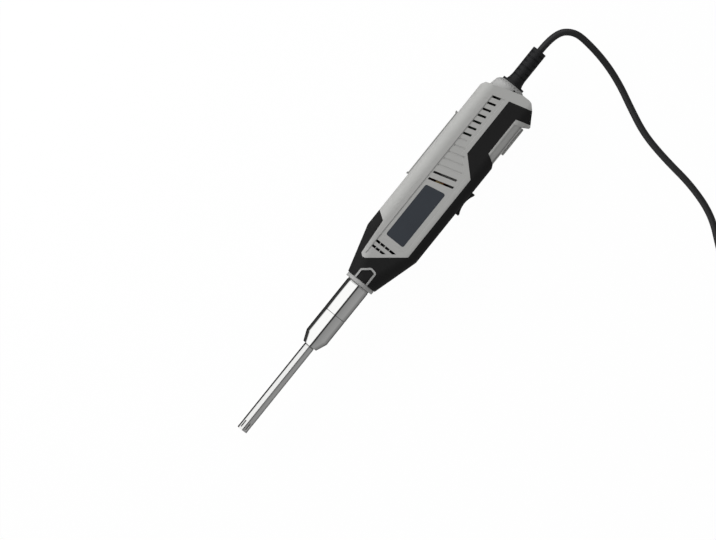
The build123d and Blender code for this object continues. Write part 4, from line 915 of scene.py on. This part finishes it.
@dataclass
class Lead:
    """The power cord with its coil, tie and plug.

    Lengths are in millimetres.

    Attributes:
        length: Length of the real cord; not used.
        diameter: Its thickness.
        lie: Height of its middle where it lies on the floor.
        coil_centre: Middle of the coil, X and Y.
        coil_radius: Radius of its inner lane.
        coil_turns: How many turns it has.
        coil_low: Height of the middle of its lower layer.
        turn_pitch: From one lane or layer to the next.
        points_per_turn: Points of each turn.
        tie_gap: How far the strap stays inside its CAD solid.
        tie_thickness: Thickness of the strap.
        tie_corner: Corner radius as a share of the strap's smaller half side.
        tie_edge: Rounding of the strap's edges.
        tie_points: Points round the strap.
        plug_length: Length of the plug's body.
        plug_neck: Length of its neck.
        plug_corner: Corner radius as a share of its smaller half side.
        plug_edge: Rounding of its ends.
        plug_points: Points round the plug and round a pin.
        pin_length: Length of a pin.
        pin_seat: How much of a pin sits in the plug.
        pin_radius: Radius of a pin.
        pin_reach: From the plug's middle to each pin.
        pin_tip: Length and depth of a pin's bevelled tip.
        pin_edge: Rounding of a pin's edges.
    """

    length: float = 1580.0
    diameter: float = 6.3
    lie: float = -20.85
    coil_centre: Point = (414.0, -284.0)
    coil_radius: float = 37.0
    coil_turns: float = 5.1
    coil_low: float = -19.95
    turn_pitch: float = 6.4
    points_per_turn: int = 15
    tie_gap: float = 0.2
    tie_thickness: float = 0.9
    tie_corner: float = 0.62
    tie_edge: float = 0.25
    tie_points: int = 40
    plug_length: float = 30.0
    plug_neck: float = 12.0
    plug_corner: float = 0.75
    plug_edge: float = 0.7
    plug_points: int = 32
    pin_length: float = 20.0
    pin_seat: float = 1.0
    pin_radius: float = 2.0
    pin_reach: float = 9.3
    pin_tip: float = 1.0
    pin_edge: float = 0.3

    def way_in(self) -> list[Place]:
        """Gives the way from the boot to the coil.

        Returns:
            Its points.
        """
        return [
            (428.5, 4.7, 0.0),
            (449.0, 4.7, 0.0),
            (462.0, -8.0, -3.3),
            (461.4, -28.4, -9.2),
            (457.8, -49.8, -15.2),
            (450.9, -70.6, -19.4),
            (441.0, -91.0, self.lie),
            (430.4, -114.8, self.lie),
            (424.8, -144.0, self.lie),
            (421.4, -176.0, self.lie),
            (412.0, -207.0, self.lie),
            (393.0, -231.0, self.lie),
            (374.4, -256.0, self.lie),
        ]

    def way_out(self) -> list[Place]:
        """Gives the points from the coil to the plug."""
        return [(391.3, -326.5, -16.0), (409.2, -338.3, -17.15), (429.5, -343.0, -17.15)]

    def changed(self, step: int, *changes: int) -> int:
        """Counts the changes of lane or layer that lie behind a point of the coil.

        Args:
            step: The point's number along the coil.
            changes: Numbers of the changes to count, from 1. Each comes just under a turn after
                the one before.

        Returns:
            How many of them lie behind it.
        """
        return sum(step > change * (self.points_per_turn - 1) for change in changes)

    def coil(self) -> list[Place]:
        """Winds the coil: inwards on the floor, then outwards on top of that.

        Returns:
            Its points, a fixed number to each turn.
        """
        reach = 1 / cos(pi / self.points_per_turn)
        places = []
        for step in range(int(self.coil_turns * self.points_per_turn) + 1):
            lane = 1 - self.changed(step, 1, 2) + self.changed(step, 4, 5)
            radius = (self.coil_radius + self.turn_pitch * lane) * reach
            height = self.coil_low + self.turn_pitch * self.changed(step, 3)
            angle = pi + 2 * pi * step / self.points_per_turn
            x = self.coil_centre[0] + radius * cos(angle)
            y = self.coil_centre[1] + radius * sin(angle)
            places.append((x, y, height))
        return places

    def build(self) -> None:
        """Makes the cord and what is on it."""
        points = self.way_in() + self.coil() + self.way_out()
        route = [tuple(part * MM for part in point) for point in points]
        data = round_bar("lead", route, self.diameter * MM, roundness=6, fineness=10)
        cord = bpy.data.objects.new("lead", data)
        adopt(cord, CORD_JACKET, Body.ROOT, "power_cord", "cord_coil", "cord_tail")
        tie = self.make_tie()
        plug = self.make_plug()
        pins = self.make_pins()

    def make_tie(self) -> bpy.types.Object:
        """Wraps the strap round the coil's outer side.

        Returns:
            The strap.
        """
        low, high = span("coil_tie")
        middle = (low + high) / 2
        half_x = (high.x - low.x) / 2 - self.tie_gap
        half_z = (high.z - low.z) / 2 - self.tie_gap
        corner = min(half_x, half_z) * self.tie_corner
        outline = rounded_outline(half_x, half_z, corner, self.tie_points)
        shape = Shape()
        rim = shape.loop([(middle.x + across, low.y, middle.z + up) for across, up in outline])
        pushed = bmesh.ops.extrude_edge_only(shape.mesh, edges=rim)
        moved = [part for part in pushed["geom"] if isinstance(part, bmesh.types.BMVert)]
        bmesh.ops.translate(shape.mesh, verts=moved, vec=(0, high.y - low.y, 0))
        shape.outward()
        bmesh.ops.solidify(shape.mesh, geom=shape.mesh.faces[:], thickness=self.tie_thickness)
        shape.outward().soften(self.tie_edge)
        return shape.piece("tie_strap", TIE_STRAP, Body.ROOT, "coil_tie")

    def plug_frame(self) -> Matrix:
        """Gives the frame at the plug's neck.

        Returns:
            A matrix with X along the plug.
        """
        *_, before, end = self.way_out()
        along = Vector((end[0] - before[0], end[1] - before[1], 0)).normalized()
        side = Vector((-along.y, along.x, 0))
        turn = Matrix((along, side, Vector((0, 0, 1)))).transposed().to_4x4()
        return Matrix.Translation(end) @ turn

    def make_plug(self) -> bpy.types.Object:
        """Makes the moulded plug: a neck that widens into a flat body with a finger waist.

        Returns:
            The plug's body.
        """
        # Places along the plug, with half its width and half its height there.
        stations = [
            (0.0, 4.6, 4.4),
            (self.plug_neck - 6, 5.3, 5.0),
            (self.plug_neck - 1, 10.5, 6.3),
            (self.plug_neck + 3, 15.2, 6.85),
            (self.plug_neck + 9, 14.2, 6.3),
            (self.plug_neck + 14, 16.7, 6.85),
            (self.plug_length, 17.4, 6.85),
        ]
        shape = Shape()
        rings = []
        for along, half_width, half_height in stations:
            corner = min(half_width, half_height) * self.plug_corner
            outline = rounded_outline(half_width, half_height, corner, self.plug_points, 0.5)
            rings.append(shape.loop([(along, across, up) for across, up in outline]))
        for first, second in zip(rings, rings[1:]):
            bmesh.ops.bridge_loops(shape.mesh, edges=first + second)
        shape.closed().soften(self.plug_edge, segments=3, angle=60)
        shape.placed(self.plug_frame())
        return shape.piece("plug", BLACK_PLASTIC, Body.ROOT, "plug_body")

    def make_pins(self) -> bpy.types.Object:
        """Makes the two round pins with rounded tips.

        Returns:
            Both pins as one piece.
        """
        start = self.plug_length - self.pin_seat
        end = start + self.pin_length
        profile = [
            (start, 0),
            (start, self.pin_radius),
            (end - self.pin_tip, self.pin_radius),
            (end, self.pin_radius - self.pin_tip),
            (end, 0),
        ]
        pin = Shape.lathe(profile, self.plug_points).soften(self.pin_edge)
        other = pin.copy().placed(Matrix.Translation((0, -self.pin_reach, 0)))
        pin.placed(Matrix.Translation((0, self.pin_reach, 0))).join(other)
        pin.placed(self.plug_frame())
        return pin.piece("plug_pins_pair", NICKEL, Body.ROOT, "plug_pins")


# ------------------------------------------------------------------ probe


@dataclass
class Probe:
    """The dispersing tube, the two stainless sleeves, their gasket and the nose ring.

    Lengths are in millimetres, and names in _x are places along the axis.

    Attributes:
        radius: Radius of the tube.
        wall: Wall of the tube.
        windows: How many windows its tip has.
        window_strips: Width of a window in the tube's faces.
        window_start_x, window_end_x: Where the windows lie.
        steps: Faces round the tube.
        neck_x, neck_radius: Where the tube gets thinner, and its radius from there.
        flange: Thickness of the flange at the tube's end.
        front_radius: Radius of the cone's small end.
        cone: Length of the cone.
        cavity_x, cavity_radius: Where the sleeves' wide bore starts, and its radius.
        union_x: Where the two sleeves meet.
        spigot_radius: Radius of the front sleeve's spigot in the rear sleeve.
        union_seat_x: How deep the spigot's seat in the rear sleeve goes.
        cavity_end_x: Where the wide bore ends.
        spindle_bore: Radius of the bore behind it.
        relief_x, relief_radius: Where the rear sleeve gets thinner, and its radius from there.
        shoulder_x, nose_radius: Where the rear sleeve's seat in the nose starts, and its radius.
        seat: Clearance of a seat.
        tube_edge, sleeve_edge, ring_edge: Rounding of their edges.
    """

    radius: float = 5.0
    wall: float = 0.8
    windows: int = 6
    window_strips: int = 4
    window_start_x: float = 2.2
    window_end_x: float = 9.2
    steps: int = 96
    neck_x: float = 95.0
    neck_radius: float = 4.8
    flange: float = 3.0
    front_radius: float = 7.2
    cone: float = 10.0
    cavity_x: float = 112.0
    cavity_radius: float = 7.6
    union_x: float = 131.35
    spigot_radius: float = 9.4
    union_seat_x: float = 137.25
    cavity_end_x: float = 158.6
    spindle_bore: float = 4.3
    relief_x: float = 164.0
    relief_radius: float = 11.1
    shoulder_x: float = 169.5
    nose_radius: float = 8.95
    seat: float = 0.03
    tube_edge: float = 0.12
    sleeve_edge: float = 0.2
    ring_edge: float = 0.6

    def build(self) -> None:
        """Makes the tube, the sleeves, the gasket and the nose ring."""
        self.make_tube()
        self.make_front_sleeve()
        self.make_rear_sleeve()
        self.make_gasket()
        self.make_nose_ring()

    def make_tube(self) -> None:
        """Turns the tube and cuts its windows."""
        low, high = span("stator_tube")
        bore = self.radius - self.wall
        flange_x = high.x - self.flange
        profile = [
            (low.x, bore),
            (low.x, self.radius),
            (self.neck_x, self.radius),
            (self.neck_x, self.neck_radius),
            (flange_x, self.neck_radius),
            (flange_x, high.y),
            (high.x, high.y),
            (high.x, bore),
        ]
        tube = Shape.lathe(profile, self.steps)
        for cut in (self.window_start_x, self.window_end_x):
            bmesh.ops.bisect_plane(
                tube.mesh,
                geom=tube.mesh.verts[:] + tube.mesh.edges[:] + tube.mesh.faces[:],
                plane_co=(cut, 0, 0),
                plane_no=(1, 0, 0),
            )
        for number in range(self.windows):
            self.cut_window(tube, FULL_TURN / self.windows * number)
        tube.outward().soften(self.tube_edge, angle=60)
        tube.piece("dispersing_tube", GROUND_STEEL, Body.ROOT, "stator_tube")

    def cut_window(self, tube: Shape, middle: float) -> None:
        """Cuts a window and closes its sides.

        Args:
            tube: The tube.
            middle: Where round the tube the window's middle is, in degrees.
        """
        half = FULL_TURN / self.steps * self.window_strips / 2
        doomed = []
        for face in tube.mesh.faces:
            centre = face.calc_center_median()
            angle = degrees(centre.yz.angle_signed(Vector((1, 0))))
            turn = (angle - middle) % FULL_TURN
            inside = min(turn, FULL_TURN - turn) < half
            if inside and self.window_start_x < centre.x < self.window_end_x:
                doomed.append(face)
        bmesh.ops.delete(tube.mesh, geom=doomed, context="FACES")
        border = [edge for edge in tube.mesh.edges if edge.is_boundary]
        bmesh.ops.bridge_loops(tube.mesh, edges=border)

    def make_front_sleeve(self) -> None:
        """Turns the front sleeve: cone, cylinder and the spigot of the joint."""
        low, high = span("front_sleeve")
        hole = self.neck_radius + self.seat
        profile = [
            (low.x, hole),
            (low.x, self.front_radius),
            (low.x + self.cone, high.y),
            (self.union_x, high.y),
            (self.union_x, self.spigot_radius),
            (high.x, self.spigot_radius),
            (high.x, self.cavity_radius),
            (self.cavity_x, self.cavity_radius),
            (self.cavity_x, hole),
        ]
        sleeve = Shape.lathe(profile).soften(self.sleeve_edge, angle=20)
        sleeve.piece("front_sleeve_turned", BRIGHT_STEEL, Body.ROOT, "front_sleeve", smooth=50)

    def make_rear_sleeve(self) -> None:
        """Turns the rear sleeve with its seat in the nose."""
        low, high = span("coupling_sleeve")
        radius = span("front_sleeve")[1].y
        socket = self.spigot_radius + self.seat
        profile = [
            (low.x, socket),
            (low.x, radius),
            (self.relief_x, radius),
            (self.relief_x, self.relief_radius),
            (self.shoulder_x, self.relief_radius),
            (self.shoulder_x, self.nose_radius),
            (high.x, self.nose_radius),
            (high.x, self.spindle_bore),
            (self.cavity_end_x, self.spindle_bore),
            (self.cavity_end_x, self.cavity_radius),
            (self.union_seat_x, self.cavity_radius),
            (self.union_seat_x, socket),
        ]
        sleeve = Shape.lathe(profile).soften(self.sleeve_edge)
        sleeve.piece("rear_sleeve_turned", BRIGHT_STEEL, Body.ROOT, "coupling_sleeve")

    def turned_ring(self, node: str, bore: float) -> Shape:
        """Turns a plain ring that fills a CAD node's box.

        Args:
            node: The node.
            bore: Radius of the ring's bore.

        Returns:
            The ring.
        """
        low, high = span(node)
        return Shape.lathe([(low.x, bore), (low.x, high.y), (high.x, high.y), (high.x, bore)])

    def make_gasket(self) -> None:
        """Turns the thin gasket between the sleeves."""
        ring = self.turned_ring("union_gasket", self.spigot_radius + self.seat)
        ring.piece("union_ring", SEAL_RUBBER, Body.ROOT, "union_gasket")

    def make_nose_ring(self) -> None:
        """Turns the nose ring, with a rolled edge."""
        ring = self.turned_ring("nose_ring", self.relief_radius + self.seat)
        ring.soften(self.ring_edge, segments=4)
        ring.piece("nose_collar", PALE_PLASTIC, Body.ROOT, "nose_ring")


# ------------------------------------------------------------------ springs


@dataclass
class Springs:
    """The lock's spring and the two brush springs, of round wire.

    Lengths are in millimetres.

    Attributes:
        wire: Thickness of the wire.
        steps: Points of each turn.
        lock_turns: Turns of the lock's spring.
        lock_travel: How far the lock's button presses it; not used.
        brush_turns: Turns of a brush spring.
        brush_radius: Radius of a brush spring to the wire's middle.
    """

    wire: float = 0.5
    steps: int = 16
    lock_turns: int = 4
    lock_travel: float = 2.0
    brush_turns: int = 3
    brush_radius: float = 2.2

    def build(self) -> None:
        """Makes the springs."""
        self.make_lock_spring()
        self.make_brush_springs()

    def coiled(self, radius: float, height: float, turns: int) -> Shape:
        """Coils the wire on the Z axis by way of a curve that is made a mesh.

        Args:
            radius: Radius to the wire's middle.
            height: Height of the spring, from Z 0.
            turns: How many turns it has.

        Returns:
            The spring.
        """
        rise = height - self.wire
        places = []
        for step in range(self.steps * turns + 1):
            angle = 2 * pi * step / self.steps
            up = rise * step / (self.steps * turns)
            places.append((radius * cos(angle), radius * sin(angle), up))
        data = round_bar("wire", places, self.wire, roundness=2, fineness=3)
        carrier = bpy.data.objects.new("wire", data)
        swept = bpy.data.meshes.new_from_object(carrier)
        shape = Shape()
        shape.mesh.from_mesh(swept)
        bpy.data.objects.remove(carrier)
        bpy.data.curves.remove(data)
        bpy.data.meshes.remove(swept)
        return shape

    def make_lock_spring(self) -> None:
        """Makes the lock's spring, which rides on the lock's button."""
        low, high = span("lock_spring")
        middle = (low + high) / 2
        radius = (high.x - low.x - self.wire) / 2
        spring = self.coiled(radius, high.z - low.z, self.lock_turns)
        spring.placed(Matrix.Translation((middle.x, middle.y, low.z + self.wire / 2)))
        made = spring.piece("lock_spring_wire", SPRING_STEEL, Body.LOCK, "lock_spring")
        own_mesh(made)

    def make_brush_springs(self) -> None:
        """Makes the two brush springs, each behind its brush."""
        low, high = span("brush_springs")
        middle = (low + high) / 2
        inner = span("carbon_brushes")[1].z
        spring = self.coiled(self.brush_radius, high.z - inner, self.brush_turns)
        spring.placed(Matrix.Translation((middle.x, 0, inner + self.wire / 2)))
        spring.join(spring.copy().placed(Matrix.Rotation(pi, 4, "X")))
        spring.piece("brush_spring_wires", SPRING_STEEL, Body.ROOT, "brush_springs")


# ------------------------------------------------------------------ the whole


def dress_carried_nodes() -> None:
    """Gives every CAD node that is still shown its finish."""
    for finish, names in CARRIED_NODES.items():
        for name in names:
            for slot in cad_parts[name].material_slots:
                slot.material = finish.material()
            log.info("%s is finished as %s", name, finish.name)


def main() -> None:
    """Builds the studio and the tool."""
    logging.basicConfig(level=logging.INFO, format="%(message)s")
    Studio().build()
    Lead().build()
    Probe().build()
    Springs().build()
    dress_carried_nodes()


if __name__ == "__main__":
    main()
